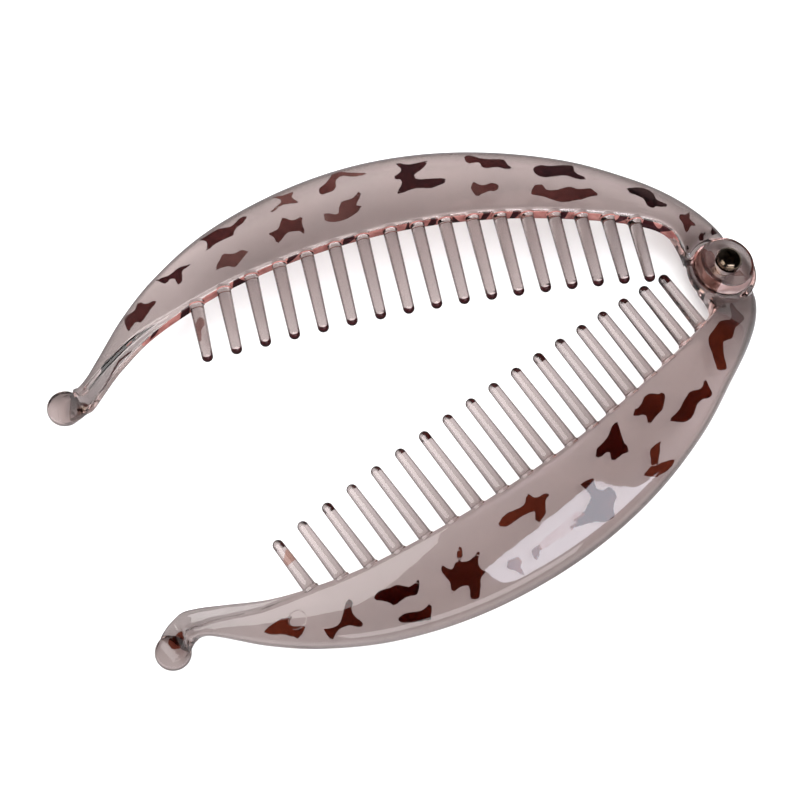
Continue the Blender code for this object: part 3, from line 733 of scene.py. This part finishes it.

# %% [markdown]
# Light runs along inside the arm, so the inner wall and the tips of the teeth show dark
# images of patches that lie elsewhere. Tracing them would take far too many bounces of
# light, so they are painted shade of their own: leaning marks on the wall, and on each
# tip a crescent outside a smaller, clear round end.

# %% Painted shade: marks on the wall and caps on the teeth
# stretches of run where painted shade darkens the inner wall of the upper comb
UPPER_WALL_SHADE_MARKS = (
    (12.2, 13.6), (14.4, 17.6), (21.5, 23.0), (33.8, 35.2), (43.9, 45.4), (50.2, 51.6),
    (56.9, 58.4), (60.6, 62.6), (65.2, 67.4), (78.3, 80.6), (90.6, 92.2), (101.0, 103.2),
    (112.3, 114.2), (119.0, 120.6), (122.0, 124.0),
)
MARK_LEAN = 0.8           # how far a mark leans at most
MARK_LEAN_PACE = 4.0      # how fast the lean changes from mark to mark
MARK_TAPER = 0.35
MARK_TONE = 0.9
WALL_HALF = 1.5           # half the wall's height
CAP_INNER_R = 0.85        # the clear end inside the cap
CAP_REACH = 0.9
CAP_SHIFT = 0.25
CAP_HALF_WIDTH = 2.0
UPPER_CAP_DEPTH = 0.25
LOWER_CAP_DEPTH = -0.1


def add_wall_shade_marks(field, points, wall, height, marks):
    for start, end in marks:
        lean = MARK_LEAN * sin(MARK_LEAN_PACE * start)
        form = np.abs(points[:, 0] - (start + end) / 2 - lean * height)
        form -= (end - start) * (0.5 - MARK_TAPER * lean * height)
        field = lay_over(field, form, MARK_TONE, wall)
    return field


def add_shade_caps(field, points, side):
    count, first = teeth_row(side)
    number = np.clip(np.round((first - points[:, 0]) / TOOTH_PITCH), 0, count - 1)
    aside = np.abs(points[:, 0] - (first - number * TOOTH_PITCH) - CAP_SHIFT)
    past_tip = points[:, 1] - tip_out_at(1 - number / (count - 1))
    depth = UPPER_CAP_DEPTH if side > 0 else LOWER_CAP_DEPTH
    form = CAP_INNER_R - np.hypot(aside, np.minimum(past_tip - depth, 0))
    at_tip = (past_tip < CAP_REACH) & (aside < CAP_HALF_WIDTH)
    return lay_over(field, form, 1.0, at_tip)


print(len(UPPER_WALL_SHADE_MARKS), "marks on the wall, a cap on each tooth")

# %% [markdown]
# The plastic isn't equally bright everywhere, and here that is painted into its colour:
# painted shade where little light is left under the discs and along the upper arm's
# outer edge, and a painted amber glow in two places. Vertex paint could show that, and
# here the values are worked out and stored under names that the material reads.

# %% Painted shade along the arm
# painted shade and light: how much light the clear plastic lets through at some runs
PAINTED_SHADE_RUNS = (25.0, 60.0, 100.0, 114.0, 132.0, 134.2, 135.0)
UPPER_PAINTED_SHADE = (0.89, 1.04, 0.92, 0.95, 0.58, 0.58, 1.15)
LOWER_PAINTED_SHADE = (0.92, 0.88, 0.86, 0.86, 0.68, 0.68, 0.8)
LOWER_TOOTH_TINT = 0.82
EDGE_SHADE = 0.62         # the upper arm's outer edge is this much darker
EDGE_SHADE_RUNS = (95, 112)
EDGE_SHADE_WIDTHS = (7.0, 2.5)
EDGE_SHADE_CURVE = 1.5
EDGE_SAMPLES = 160
# painted glow: amber light round the screw and near the upper hook, its core and strength
AMBER_GLOWS = ((3.6, -2.0, 1.5), (134.9, -3.5, 0.8))    # (run, out, size)
AMBER_CORE = 1.3
AMBER_STRENGTH = 0.7


def painted_edge_light(points):
    """Painted shade: the share of light that is left near the upper arm's outer edge."""
    line = [edges_at(place)[1] for place in np.linspace(2, len(SECTIONS) - 1, EDGE_SAMPLES)]
    edge = np.interp(points[:, 0], [p.x for p in line], [p.y for p in line])
    width = np.interp(points[:, 0], EDGE_SHADE_RUNS, EDGE_SHADE_WIDTHS)
    near = np.clip(1 - (edge - points[:, 1]) / width, 0, 1)
    return 1 - EDGE_SHADE * near ** EDGE_SHADE_CURVE


# painted shade: the factor that darkens or lightens the clear colour at each point
def painted_shade_at(points, side, on_tooth):
    if side > 0:
        return np.interp(points[:, 0], PAINTED_SHADE_RUNS, UPPER_PAINTED_SHADE) * painted_edge_light(points)
    tint = np.interp(points[:, 0], PAINTED_SHADE_RUNS, LOWER_PAINTED_SHADE)
    return np.where(on_tooth, LOWER_TOOTH_TINT, tint)


def amber_glow_at(points):
    glow = np.zeros(len(points))
    for run, out, size in AMBER_GLOWS:
        away = np.hypot(points[:, 0] - run, points[:, 1] - out)
        glow = np.maximum(glow, np.clip(AMBER_CORE - away / size, 0, 1) * AMBER_STRENGTH)
    return glow


print("tint at run 60 on the edge:", painted_shade_at(np.array(((60.0, 35.3),)), 1, False))

# %% [markdown]
# The patches lie on the face alone, the marks on the inner wall and the caps on the
# teeth. A rule on a vertex's place and on the direction of its normal tells these
# surfaces apart. To paint groups of vertices by hand would do as well, but the rule
# still holds when the mesh changes.

# %% Tell the wall from the teeth
WALL_FACING = -0.6        # a normal on the wall points inwards, at least this far
WALL_BAND = (0.3, 1.0)    # the wall lies this far before and behind the inner edge
TOOTH_RUNS = (12.0, 117.0)
EDGE_RUNS = np.linspace(9.0, 133.0, 250)
EDGE_POINTS = [inner_edge_at(run) for run in EDGE_RUNS]


def read_vertices(mesh, what):
    flat = np.zeros(len(mesh.vertices) * 3, np.float32)
    mesh.vertices.foreach_get(what, flat)
    return flat.reshape(-1, 3)


def wall_and_teeth(points, normals):
    """Which points are on the wall and on a tooth, and the height of the wall's middle."""
    run, out = points.T
    edge = np.interp(run, EDGE_RUNS, [point[0] for point in EDGE_POINTS])
    middle = np.interp(run, EDGE_RUNS, [point[1] for point in EDGE_POINTS])
    wall = (normals[:, 1] < WALL_FACING) & (out > edge - WALL_BAND[0])
    wall &= out < edge + WALL_BAND[1]
    on_tooth = (out < edge - WALL_BAND[0]) & (run > TOOTH_RUNS[0]) & (run < TOOTH_RUNS[1])
    return wall, on_tooth, middle


print("inner edge read at", len(EDGE_POINTS), "places")

# %% [markdown]
# Now both combs get their values. The same cell stores where the hinge makes the
# plastic paler, where it is dull, how soon painted shade darkens a rim, and the round
# mark that an ejector pin of the mould has left.

# %% Store the values
# how far up a normal points, at the least, where these lie
PATCH_FACING = 0.05
AMBER_FACING = 0.2
PIN_FACING = 0.5
# how far a surface has to turn away, from 0 to 1, before painted shade darkens its rim
TOOTH_RIM = 0.24
ARM_RIM = 0.32
NO_RIM = 2.0
HINGE_REACH = EAR_R + 0.6
HINGE_FADE = 0.8
DULL_REACH = 18.0         # the lower comb is dull up to this far from the screw
DULL_FADE = 6.0
UPPER_PIN_MARK = (61.0, 20.5)
LOWER_PIN_MARK = (119.4, 12.5)
PIN_MARK_R = 1.7


def dullness_at(from_screw, side):
    """1 on the ring round the boss, and on the lower comb's slope beside it."""
    if side > 0:
        return (from_screw > BOSS_TOP_R) & (from_screw < EAR_R)
    return np.clip((DULL_REACH - from_screw) / DULL_FADE, 0, 1)


def chart_comb(body, side, patches, wall_shade_marks, pin_mark):
    mesh = body.data
    places = read_vertices(mesh, "co")
    points = places[:, :2] * (-1, side)
    normals = read_vertices(mesh, "normal") * (-1, side, 1)
    wall, on_tooth, middle = wall_and_teeth(points, normals)
    field = np.full(len(points), FAR), np.zeros(len(points))
    distance, tone = add_patches(field, points, patches)
    distance[normals[:, 2] < PATCH_FACING] = FAR
    height = (places[:, 2] - middle) / WALL_HALF
    field = add_wall_shade_marks((distance, tone), points, wall, height, wall_shade_marks)
    distance, tone = add_shade_caps(field, points, side)
    from_screw = np.hypot(*points.T)
    ring = np.hypot(*(points - pin_mark).T) - PIN_MARK_R
    amber = amber_glow_at(points) if side > 0 else 0.0
    for name, values in (
        ("patch_and_shade_distance", distance),
        ("patch_and_shade_tone", tone),
        ("rim_from", np.where(on_tooth, TOOTH_RIM, np.where(wall, NO_RIM, ARM_RIM))),
        ("at_hinge", np.clip((HINGE_REACH - from_screw) / HINGE_FADE, 0, 1)),
        ("tint", painted_shade_at(points, side, on_tooth)),
        ("gloss", 1.0 - dullness_at(from_screw, side)),
        ("amber", np.where(normals[:, 2] > AMBER_FACING, amber, 0)),
        ("pin_mark_distance", np.where(normals[:, 2] > PIN_FACING, ring, FAR)),
    ):
        attribute = mesh.attributes.new(name, "FLOAT", "POINT")
        attribute.data.foreach_set("value", np.asarray(values, np.float32))
    print(body.name, len(patches), "patches,", int((distance < 0).sum()), "vertices inside")


chart_comb(combs["upper"], 1, UPPER_PATCHES, UPPER_WALL_SHADE_MARKS, UPPER_PIN_MARK)
chart_comb(combs["lower"], -1, LOWER_PATCHES, (), LOWER_PIN_MARK)

# %% [markdown]
# A material is a net of nodes. Short helpers keep the nets easy to read: they add a
# node and fill its inputs, do sums, mix colours, turn a range of numbers into a soft
# step, and read the values that the vertices store.


# %% Node helpers
def feed(tree, value, socket):
    """Link a node's output to a socket, or set a plain number or colour on it."""
    if isinstance(value, bpy.types.NodeSocket):
        tree.links.new(value, socket)
    else:
        socket.default_value = value


def add_node(tree, kind, **values):
    """Add a node; values are its own settings or, by name, its input sockets."""
    node = tree.nodes.new(kind)
    for key, value in values.items():
        if hasattr(node, key):
            setattr(node, key, value)
        else:
            feed(tree, value, node.inputs[key])
    return node


def maths(tree, operation, a, b=0.0):
    node = add_node(tree, "ShaderNodeMath", operation=operation)
    feed(tree, a, node.inputs[0])
    feed(tree, b, node.inputs[1])
    return node.outputs[0]


def blend(tree, share, a, b):
    """Colour a where share is 0, and colour b where it is 1."""
    node = add_node(tree, "ShaderNodeMix", data_type="RGBA", Factor=share, A=a, B=b)
    return node.outputs["Result"]


def soft_step(tree, value, start, end, top=1.0, bottom=0.0):
    """From bottom to top while value goes from start to end."""
    node = add_node(tree, "ShaderNodeMapRange", interpolation_type="SMOOTHSTEP",
                    **{"Value": value, "From Min": start, "From Max": end,
                       "To Min": bottom, "To Max": top})
    return node.outputs["Result"]


def stored(tree, name):
    """A value that the vertices store."""
    return add_node(tree, "ShaderNodeAttribute", attribute_name=name).outputs["Fac"]


def new_material(name):
    """A material, its node tree, its shader, and the place on the object."""
    mat = bpy.data.materials.new(name)
    mat.use_nodes = True
    tree = mat.node_tree
    where = tree.nodes.new("ShaderNodeTexCoord").outputs["Object"]
    return mat, tree, tree.nodes["Principled BSDF"], where


def set_shader(tree, shader, values):
    for name, value in values.items():
        feed(tree, value, shader.inputs[name])


print("node helpers are ready")

# %% [markdown]
# No real surface is perfectly even: colour gathers in soft clouds, and so does polish.
# Most materials here need that, so it is a node group, built once and placed with its
# own size and amount.


# %% Effect: mottled depth
def make_mottle_group():
    """Soft cloudy variation, from minus the amount to the amount."""
    group = bpy.data.node_groups.new("mottle", "ShaderNodeTree")
    for name, kind in (("Vector", "NodeSocketVector"), ("Size in mm", "NodeSocketFloat"),
                       ("Amount", "NodeSocketFloat")):
        group.interface.new_socket(name, in_out="INPUT", socket_type=kind)
    group.interface.new_socket("Factor", in_out="OUTPUT", socket_type="NodeSocketFloat")
    given = group.nodes.new("NodeGroupInput").outputs
    result = group.nodes.new("NodeGroupOutput")
    scale = maths(group, "DIVIDE", 1 / MM, given["Size in mm"])
    noise = add_node(group, "ShaderNodeTexNoise", Detail=3.0, Vector=given["Vector"],
                     Scale=scale)
    low = maths(group, "MULTIPLY", given["Amount"], -1.0)
    spread = add_node(group, "ShaderNodeMapRange",
                      **{"Value": noise.outputs["Fac"], "From Min": 0.3, "From Max": 0.7,
                         "To Min": low, "To Max": given["Amount"]})
    group.links.new(spread.outputs["Result"], result.inputs["Factor"])
    return group


mottle = make_mottle_group()
print("node group:", mottle.name)


def mottled(tree, where, base, size, amount):
    """A number or an output, with soft clouds of the given size added to it."""
    node = add_node(tree, "ShaderNodeGroup", node_tree=mottle,
                    **{"Vector": where, "Size in mm": size, "Amount": amount})
    return maths(tree, "ADD", base, node.outputs["Factor"])


# %% [markdown]
# The clear plastic is one Principled shader that lets light through and bends it. Its
# surface is tinted, and an absorbing volume lies behind: a thin tooth stays pale, and
# the long way through an edge turns dark and reddish, as smoky acrylic does. The tint
# alone would be simpler, but then thick and thin places would look the same.

# %% Colours of the smoky plastic
CLEAR_COLOURS = (0.42, 0.378, 0.372, 1), (0.392, 0.36, 0.358, 1)
HINGE_COLOUR = (0.75, 0.77, 0.78, 1)
# colour of the painted amber glow
AMBER_GLOW_COLOUR = (0.80, 0.44, 0.19, 1)
# painted shade on rims that turn away: its colour, width and depth
RIM_SHADE_COLOUR = (0.02, 0.008, 0.008, 1)
RIM_WIDTH = 0.25
RIM_DEPTH = 0.85
ABSORB_COLOUR = (0.80, 0.35, 0.25, 1)
ABSORB_DENSITY = 60.0
PLASTIC_IOR = 1.49
PIN_GROOVE = 0.16
PATCH_EDGE = (0.1, -0.06)     # distances between which a patch fades in
# colour of a patch, and of the painted shade on the wall and the tips, at each tone
UPPER_SPOTS = (
    (0.0, (0.40, 0.30, 0.29, 1)), (0.15, (0.19, 0.09, 0.078, 1)),
    (0.35, (0.052, 0.0135, 0.0112, 1)), (0.65, (0.0175, 0.0022, 0.0019, 1)),
    (0.8, (0.0055, 0.0004, 0.0004, 1)), (0.95, (0.0011, 0.00012, 0.0002, 1)),
    (1.0, (0.00014, 0.00001, 0.00001, 1)),
)
LOWER_SPOTS = (
    (0.0, (0.38, 0.33, 0.32, 1)), (0.15, (0.21, 0.09, 0.065, 1)),
    (0.35, (0.058, 0.0066, 0.003, 1)), (0.65, (0.027, 0.0012, 0.0003, 1)),
    (0.8, (0.0105, 0.0003, 0.00008, 1)), (0.95, (0.0036, 0.00003, 0.00001, 1)),
    (1.0, (0.001, 0.0, 0.0, 1)),
)


def patch_and_shade_mask(tree, where):
    """1 in patches and in painted shade, 0 outside, with a little waviness along the edge."""
    wavy = mottled(tree, where, stored(tree, "patch_and_shade_distance"), size=0.8, amount=0.06)
    return soft_step(tree, wavy, *PATCH_EDGE)


def patch_and_shade_colour(tree, where, spots):
    """From brown to nearly black with the tone of a patch and of painted shade."""
    brown = add_node(tree, "ShaderNodeValToRGB",
                     Fac=mottled(tree, where, stored(tree, "patch_and_shade_tone"), size=3.0, amount=0.04))
    stops = brown.color_ramp.elements
    stops[0].color, stops[1].color = spots[0][1], spots[-1][1]
    for position, spot in spots[1:-1]:
        stops.new(position).color = spot
    return brown.outputs["Color"]


def clear_colour(tree, where):
    """Plastic between the patches, paler at the hinge, with painted amber glow in two places."""
    clear = blend(tree, mottled(tree, where, 0.5, size=14.0, amount=0.5), *CLEAR_COLOURS)
    # painted shade: the stored tint darkens or lightens the clear colour
    shaded_clear = add_node(tree, "ShaderNodeVectorMath", operation="SCALE",
                      Scale=stored(tree, "tint"))
    feed(tree, clear, shaded_clear.inputs[0])
    paler = blend(tree, stored(tree, "at_hinge"), shaded_clear.outputs[0], HINGE_COLOUR)
    return blend(tree, stored(tree, "amber"), paler, AMBER_GLOW_COLOUR)


print(len(UPPER_SPOTS), "tones for the patches of each comb")


# %% Smoky plastic
def painted_rim_shade(tree):
    """Painted shade: where the surface turns away, clear plastic looks dark as light is bent aside."""
    turned_away = add_node(tree, "ShaderNodeLayerWeight", Blend=0.5).outputs["Facing"]
    start = stored(tree, "rim_from")
    end = maths(tree, "ADD", RIM_WIDTH, start)
    return soft_step(tree, turned_away, start, end, RIM_DEPTH)


def moulded_relief(tree, where):
    """Faint waves of the face, and the shallow ring that an ejector pin leaves in it."""
    wave = add_node(tree, "ShaderNodeBump", Strength=0.25, Distance=0.00002,
                    Height=mottled(tree, where, 0.0, size=9.0, amount=1.0))
    off_ring = maths(tree, "ABSOLUTE", stored(tree, "pin_mark_distance"))
    ring = add_node(tree, "ShaderNodeBump", Strength=0.6, Distance=0.00006,
                    Height=soft_step(tree, off_ring, 0.0, PIN_GROOVE),
                    Normal=wave.outputs["Normal"])
    return ring.outputs["Normal"]


def make_plastic(name, spots):
    mat, tree, shader, where = new_material(name)
    colour = blend(tree, patch_and_shade_mask(tree, where), clear_colour(tree, where),
                   patch_and_shade_colour(tree, where, spots))
    set_shader(tree, shader, {
        "Base Color": blend(tree, painted_rim_shade(tree), colour, RIM_SHADE_COLOUR),
        "Roughness": mottled(tree, where, 0.025, size=6.0, amount=0.012),
        "Specular Tint": stored(tree, "gloss"),
        "Transmission Weight": 1.0,
        "IOR": PLASTIC_IOR,
        "Normal": moulded_relief(tree, where),
    })
    absorb = add_node(tree, "ShaderNodeVolumeAbsorption", Density=ABSORB_DENSITY,
                      Color=ABSORB_COLOUR)
    feed(tree, absorb.outputs["Volume"], tree.nodes["Material Output"].inputs["Volume"])
    return mat


plastics = {
    "upper": make_plastic("smoky_plastic_purple_spots", UPPER_SPOTS),
    "lower": make_plastic("smoky_plastic_red_spots", LOWER_SPOTS),
}
print("plastics:", [mat.name for mat in plastics.values()])

# %% [markdown]
# The inner wall glows salmon with the light that runs along inside the arm and leaves
# it there. Seen so flat, a polished wall would mirror the table, so the upper comb's
# wall has its own, satin version of the plastic, partly clear and partly opaque, whose
# salmon is a painted glow. The side of the boss and the tips of the upper teeth, where
# light is bent so often that no clear image comes through, have others, whose pale
# colours are painted glow too.


# %% Satin plastic with painted glow
# light and dark: the painted glow that stands in for light leaving the plastic there
def make_satin_glow_plastic(name, light, dark, spot, clearness):
    mat, tree, shader, where = new_material(name)
    glow = blend(tree, mottled(tree, where, 0.5, size=2.5, amount=0.5), light, dark)
    set_shader(tree, shader, {
        "Base Color": blend(tree, patch_and_shade_mask(tree, where), glow, spot),
        "Roughness": mottled(tree, where, 0.2, size=1.5, amount=0.06),
        "Specular IOR Level": 0.0,
        "Transmission Weight": clearness,
        "IOR": PLASTIC_IOR,
    })
    return mat


satin_glows = [make_satin_glow_plastic(*row) for row in (
    ("smoky_plastic_inner_wall", (0.40, 0.165, 0.145, 1), (0.17, 0.055, 0.05, 1),
     (0.02, 0.003, 0.004, 1), 0.15),
    ("smoky_plastic_boss_side", (0.42, 0.29, 0.28, 1), (0.33, 0.22, 0.21, 1),
     (0.11, 0.045, 0.035, 1), 0.5),
    ("smoky_plastic_tooth_tip", (0.47, 0.38, 0.37, 1), (0.40, 0.31, 0.30, 1),
     (0.016, 0.001, 0.0015, 1), 0.4),
)]
print("satin plastics:", [mat.name for mat in satin_glows])

# %% [markdown]
# A mesh can hold several materials, and each face says which one it wears. Faces can be
# picked by hand in edit mode. Here a rule on their place and direction picks them, so
# the choice still holds when the shape changes.

# %% Which faces are satin
WALL, BOSS_SIDE, TIP = 1, 2, 3      # places of the satin plastics among the materials
WALL_RUNS = (9.0, 126.0)
WALL_STEEP = -0.75
WALL_HALF_BAND = 0.6
TIP_FROM = 0.3
BOSS_SPARE = 0.1
BOSS_STEEP = 0.6


def give_satin_faces(mesh):
    """Pick out the upper comb's wall, boss side and tooth tips, in the arm's frame."""
    for face in mesh.polygons:
        run, out = -face.center.x, face.center.y
        row_part = 1 - (UPPER_FIRST - run) / (UPPER_TEETH - 1) / TOOTH_PITCH
        on_tooth = TOOTH_RUNS[0] < run < TOOTH_RUNS[1]
        if on_tooth and out < tip_out_at(row_part) - TIP_FROM:
            face.material_index = TIP
        if WALL_RUNS[0] < run < WALL_RUNS[1] and face.normal.y < WALL_STEEP:
            if abs(out - inner_edge_at(run)[0]) < WALL_HALF_BAND:
                face.material_index = WALL
        from_screw = Vector((run, out)).length
        on_boss = BOSS_TOP_R - BOSS_SPARE < from_screw < BOSS_BASE_R + BOSS_SPARE
        if on_boss and face.center.z > FLANGE_TOP and abs(face.normal.z) < BOSS_STEEP:
            face.material_index = BOSS_SIDE


combs["upper"].data.materials.clear()
for mat in (plastics["upper"], *satin_glows):
    combs["upper"].data.materials.append(mat)
give_satin_faces(combs["upper"].data)
combs["lower"].data.materials.clear()
combs["lower"].data.materials.append(plastics["lower"])
print("satin faces:", sum(face.material_index > 0 for face in combs["upper"].data.polygons))

# %% [markdown]
# The combs are finished, so their meshes go from the arm's frame to the room. The
# objects themselves stay at the origin, unturned. Smooth shading hides the facets, and
# only edges sharper than a set angle stay sharp.

# %% Put the combs in place
COMB_SHARP = radians(32)


def finish_comb(body, side, arm, node):
    """Move a comb from its own frame to the room, and let it stand for its solid."""
    body.data.transform(arm_to_room(side))
    body.data.shade_smooth()
    body.data.set_sharp_from_angle(angle=COMB_SHARP)
    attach(body, arm)
    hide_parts(node)
    print(body.name, "stands for", node)


finish_comb(combs["upper"], 1, "upper", "upper_comb")
finish_comb(combs["lower"], -1, "lower", "lower_comb")

# %% [markdown]
# The screw is a round-headed cross-recess screw of blackened steel, sunk in the boss.
# Its head and shank are one spun outline, and two crossed blocks cut the recess. The
# thread would be hidden in the plastic, so it is left plain.

# %% Screw
SHANK_R = 1.4
SHANK_END = -2.4
HEAD_R = 2.7
HEAD_BOTTOM = 4.2
HEAD_EDGE = 6.1
HEAD_TOP = 7.1
RECESS_WIDTH = 0.7
RECESS_LENGTH = 3.2
RECESS_FLOOR = 5.9
RECESS_CUT = 4.0
SCREW_SHARP = radians(35)


def screw_body():
    outline = [(0.0, HEAD_TOP)]
    for step in range(1, ROUND_STEPS + 1):
        angle = step * pi / 2 / ROUND_STEPS
        outline.append((HEAD_R * sin(angle),
                        HEAD_EDGE + (HEAD_TOP - HEAD_EDGE) * cos(angle)))
    outline += [(HEAD_R, HEAD_BOTTOM + 0.1), (HEAD_R - 0.1, HEAD_BOTTOM),
                (SHANK_R, HEAD_BOTTOM), (SHANK_R, SHANK_END + 0.2),
                (SHANK_R - 0.2, SHANK_END), (0.0, SHANK_END)]
    body = object_from("hinge_screw_dark", turned(outline))
    for quarter in (0, 1):
        bm = bmesh.new()
        size = [RECESS_LENGTH, RECESS_WIDTH] if quarter else [RECESS_WIDTH, RECESS_LENGTH]
        bmesh.ops.create_cube(bm, size=1.0)
        bmesh.ops.scale(bm, vec=size + [RECESS_CUT], verts=bm.verts)
        bmesh.ops.translate(bm, vec=(0, 0, RECESS_FLOOR + RECESS_CUT / 2), verts=bm.verts)
        carve(body, bm, "DIFFERENCE")
    return body


def make_screw_metal():
    mat, tree, shader, where = new_material("blackened_steel")
    cloudy = mottled(tree, where, 0.5, size=0.7, amount=0.5)
    set_shader(tree, shader, {
        "Metallic": 1.0,
        "Base Color": blend(tree, cloudy, (0.05, 0.035, 0.025, 1), (0.2, 0.15, 0.11, 1)),
        "Roughness": mottled(tree, where, 0.14, size=0.4, amount=0.06),
    })
    return mat


screw = screw_body()
screw.data.transform(arm_to_room(0))
screw.data.materials.clear()
screw.data.materials.append(make_screw_metal())
screw.data.shade_smooth()
screw.data.set_sharp_from_angle(angle=SCREW_SHARP)
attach(screw, "lower")
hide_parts("hinge_screw")
print("screw", len(screw.data.vertices), "vertices")

# %% [markdown]
# The table is a plain pale sheet. Clear plastic shows what is under it, so the table's
# colour matters as much as the plastic's. Its light in mirror images is set apart from
# the rest: polished rims that mirror so bright a table would look milky.

# %% Table
TABLE_SIZE = 4.0
TABLE_COLOURS = (0.88, 0.88, 0.88, 1), (0.90, 0.90, 0.90, 1)
MIRRORED_TABLE = (0.3, 0.3, 0.3, 1)


def make_table():
    bm = bmesh.new()
    bmesh.ops.create_grid(bm, x_segments=1, y_segments=1, size=TABLE_SIZE / 2)
    table = object_from("table", bm)
    mat, tree, shader, where = new_material("pale_table")
    tint = blend(tree, mottled(tree, where, 0.5, size=60.0, amount=0.5), *TABLE_COLOURS)
    mirrored = tree.nodes.new("ShaderNodeLightPath").outputs["Is Reflection Ray"]
    set_shader(tree, shader, {
        "Base Color": blend(tree, mirrored, tint, MIRRORED_TABLE),
        "Roughness": 0.8,
        "Specular IOR Level": 0.2,
    })
    table.data.materials.append(mat)
    return table


make_table()
print("table:", TABLE_SIZE, "m square")

# %% [markdown]
# A patch of dark, clear plastic only looks deep when the part of the room that it
# mirrors is dim. So the room itself is nearly dark, a little lighter on the far side,
# and the table is lit by two sheets of light and two panels. The brighter sheet hangs
# where its mirror image falls on the outer half of the lower comb. It has four uneven
# corners, because that image isn't square.

# %% Sheets of light
SHEET_HEIGHT = 1.2
SOFT_BOX_CORNERS = ((0.10, -0.44), (0.64, -0.34), (1.24, -0.78), (0.24, -0.80))
SOFT_BOX_LIGHT = 8.2
SOFT_BOX_TINT = (0.93, 0.98, 1.1, 1)
SIDE_SHEET_CORNERS = ((-0.03, -0.14), (-0.03, 0.36), (-3.4, 0.36), (-3.4, -1.45))
SIDE_SHEET_LIGHT = 4.0
SIDE_SHEET_TINT = (1, 1, 1, 1)


def make_glow(name, brightness, tint):
    mat = bpy.data.materials.new(name)
    mat.use_nodes = True
    tree = mat.node_tree
    tree.nodes.remove(tree.nodes["Principled BSDF"])
    glow = add_node(tree, "ShaderNodeEmission", Strength=brightness, Color=tint)
    feed(tree, glow.outputs["Emission"], tree.nodes["Material Output"].inputs["Surface"])
    return mat


def add_light_sheet(name, corners, brightness, tint):
    """A level sheet of light over the table, of any outline."""
    bm = bmesh.new()
    bm.faces.new([bm.verts.new((x, y, SHEET_HEIGHT)) for x, y in corners])
    sheet = object_from(name, bm)
    sheet.data.materials.append(make_glow(name + "_light", brightness, tint))
    sheet.visible_camera = False


add_light_sheet("soft_box", SOFT_BOX_CORNERS, SOFT_BOX_LIGHT, SOFT_BOX_TINT)
add_light_sheet("side_sheet", SIDE_SHEET_CORNERS, SIDE_SHEET_LIGHT, SIDE_SHEET_TINT)
print("two sheets of light hang", SHEET_HEIGHT, "m over the table")

# %% [markdown]
# An area light is the plainest lamp, a rectangle that shines evenly. One panel stands
# in front of the clip, and a large one hangs above it and whitens the table. The large
# one is kept out of mirror images, where it would grey the dark patches.

# %% Panels
PANELS = (
    # name, middle, width, height, brightness
    ("panel_front", (0.0, -1.25, 0.75), 1.5, 0.8, 4.0),
    ("fill_above", (0.4, 0.1, 2.2), 4.0, 4.0, 4.2),
)


def add_panel(name, middle, width, height, brightness):
    """A rectangular lamp that faces the clip; brightness is in plain radiance."""
    lamp = bpy.data.lights.new(name, "AREA")
    lamp.shape = "RECTANGLE"
    lamp.size, lamp.size_y = width, height
    lamp.energy = brightness * pi * width * height
    obj = bpy.data.objects.new(name, lamp)
    bpy.context.scene.collection.objects.link(obj)
    turn = Vector(middle).to_track_quat("Z", "Y").to_matrix().to_4x4()
    obj.matrix_world = Matrix.Translation(middle) @ turn
    return obj


lamps = {panel[0]: add_panel(*panel) for panel in PANELS}
lamps["fill_above"].visible_glossy = False
print("panels:", sorted(lamps))

# %% [markdown]
# The room is a world whose strength follows the direction that a ray leaves in. The
# picture is shown with the Standard view, which leaves colours as they are worked out.

# %% Room
WORLD_LIGHT = (0.015, 0.09)         # on the near side and on the far side
WORLD_FADE = (0.2, 0.85)


def make_world():
    """A dim room, lighter on the far side."""
    world = bpy.data.worlds.new("room")
    bpy.context.scene.world = world
    world.use_nodes = True
    tree = world.node_tree
    where = tree.nodes.new("ShaderNodeTexCoord").outputs["Generated"]
    parts = add_node(tree, "ShaderNodeSeparateXYZ", Vector=where)
    near, far = WORLD_LIGHT
    set_shader(tree, tree.nodes["Background"], {
        "Color": (1, 1, 1, 1),
        "Strength": soft_step(tree, parts.outputs["Y"], *WORLD_FADE, top=far, bottom=near),
    })


make_world()
bpy.context.scene.view_settings.view_transform = "Standard"
print("the room shines with", WORLD_LIGHT[0], "to", WORLD_LIGHT[1])
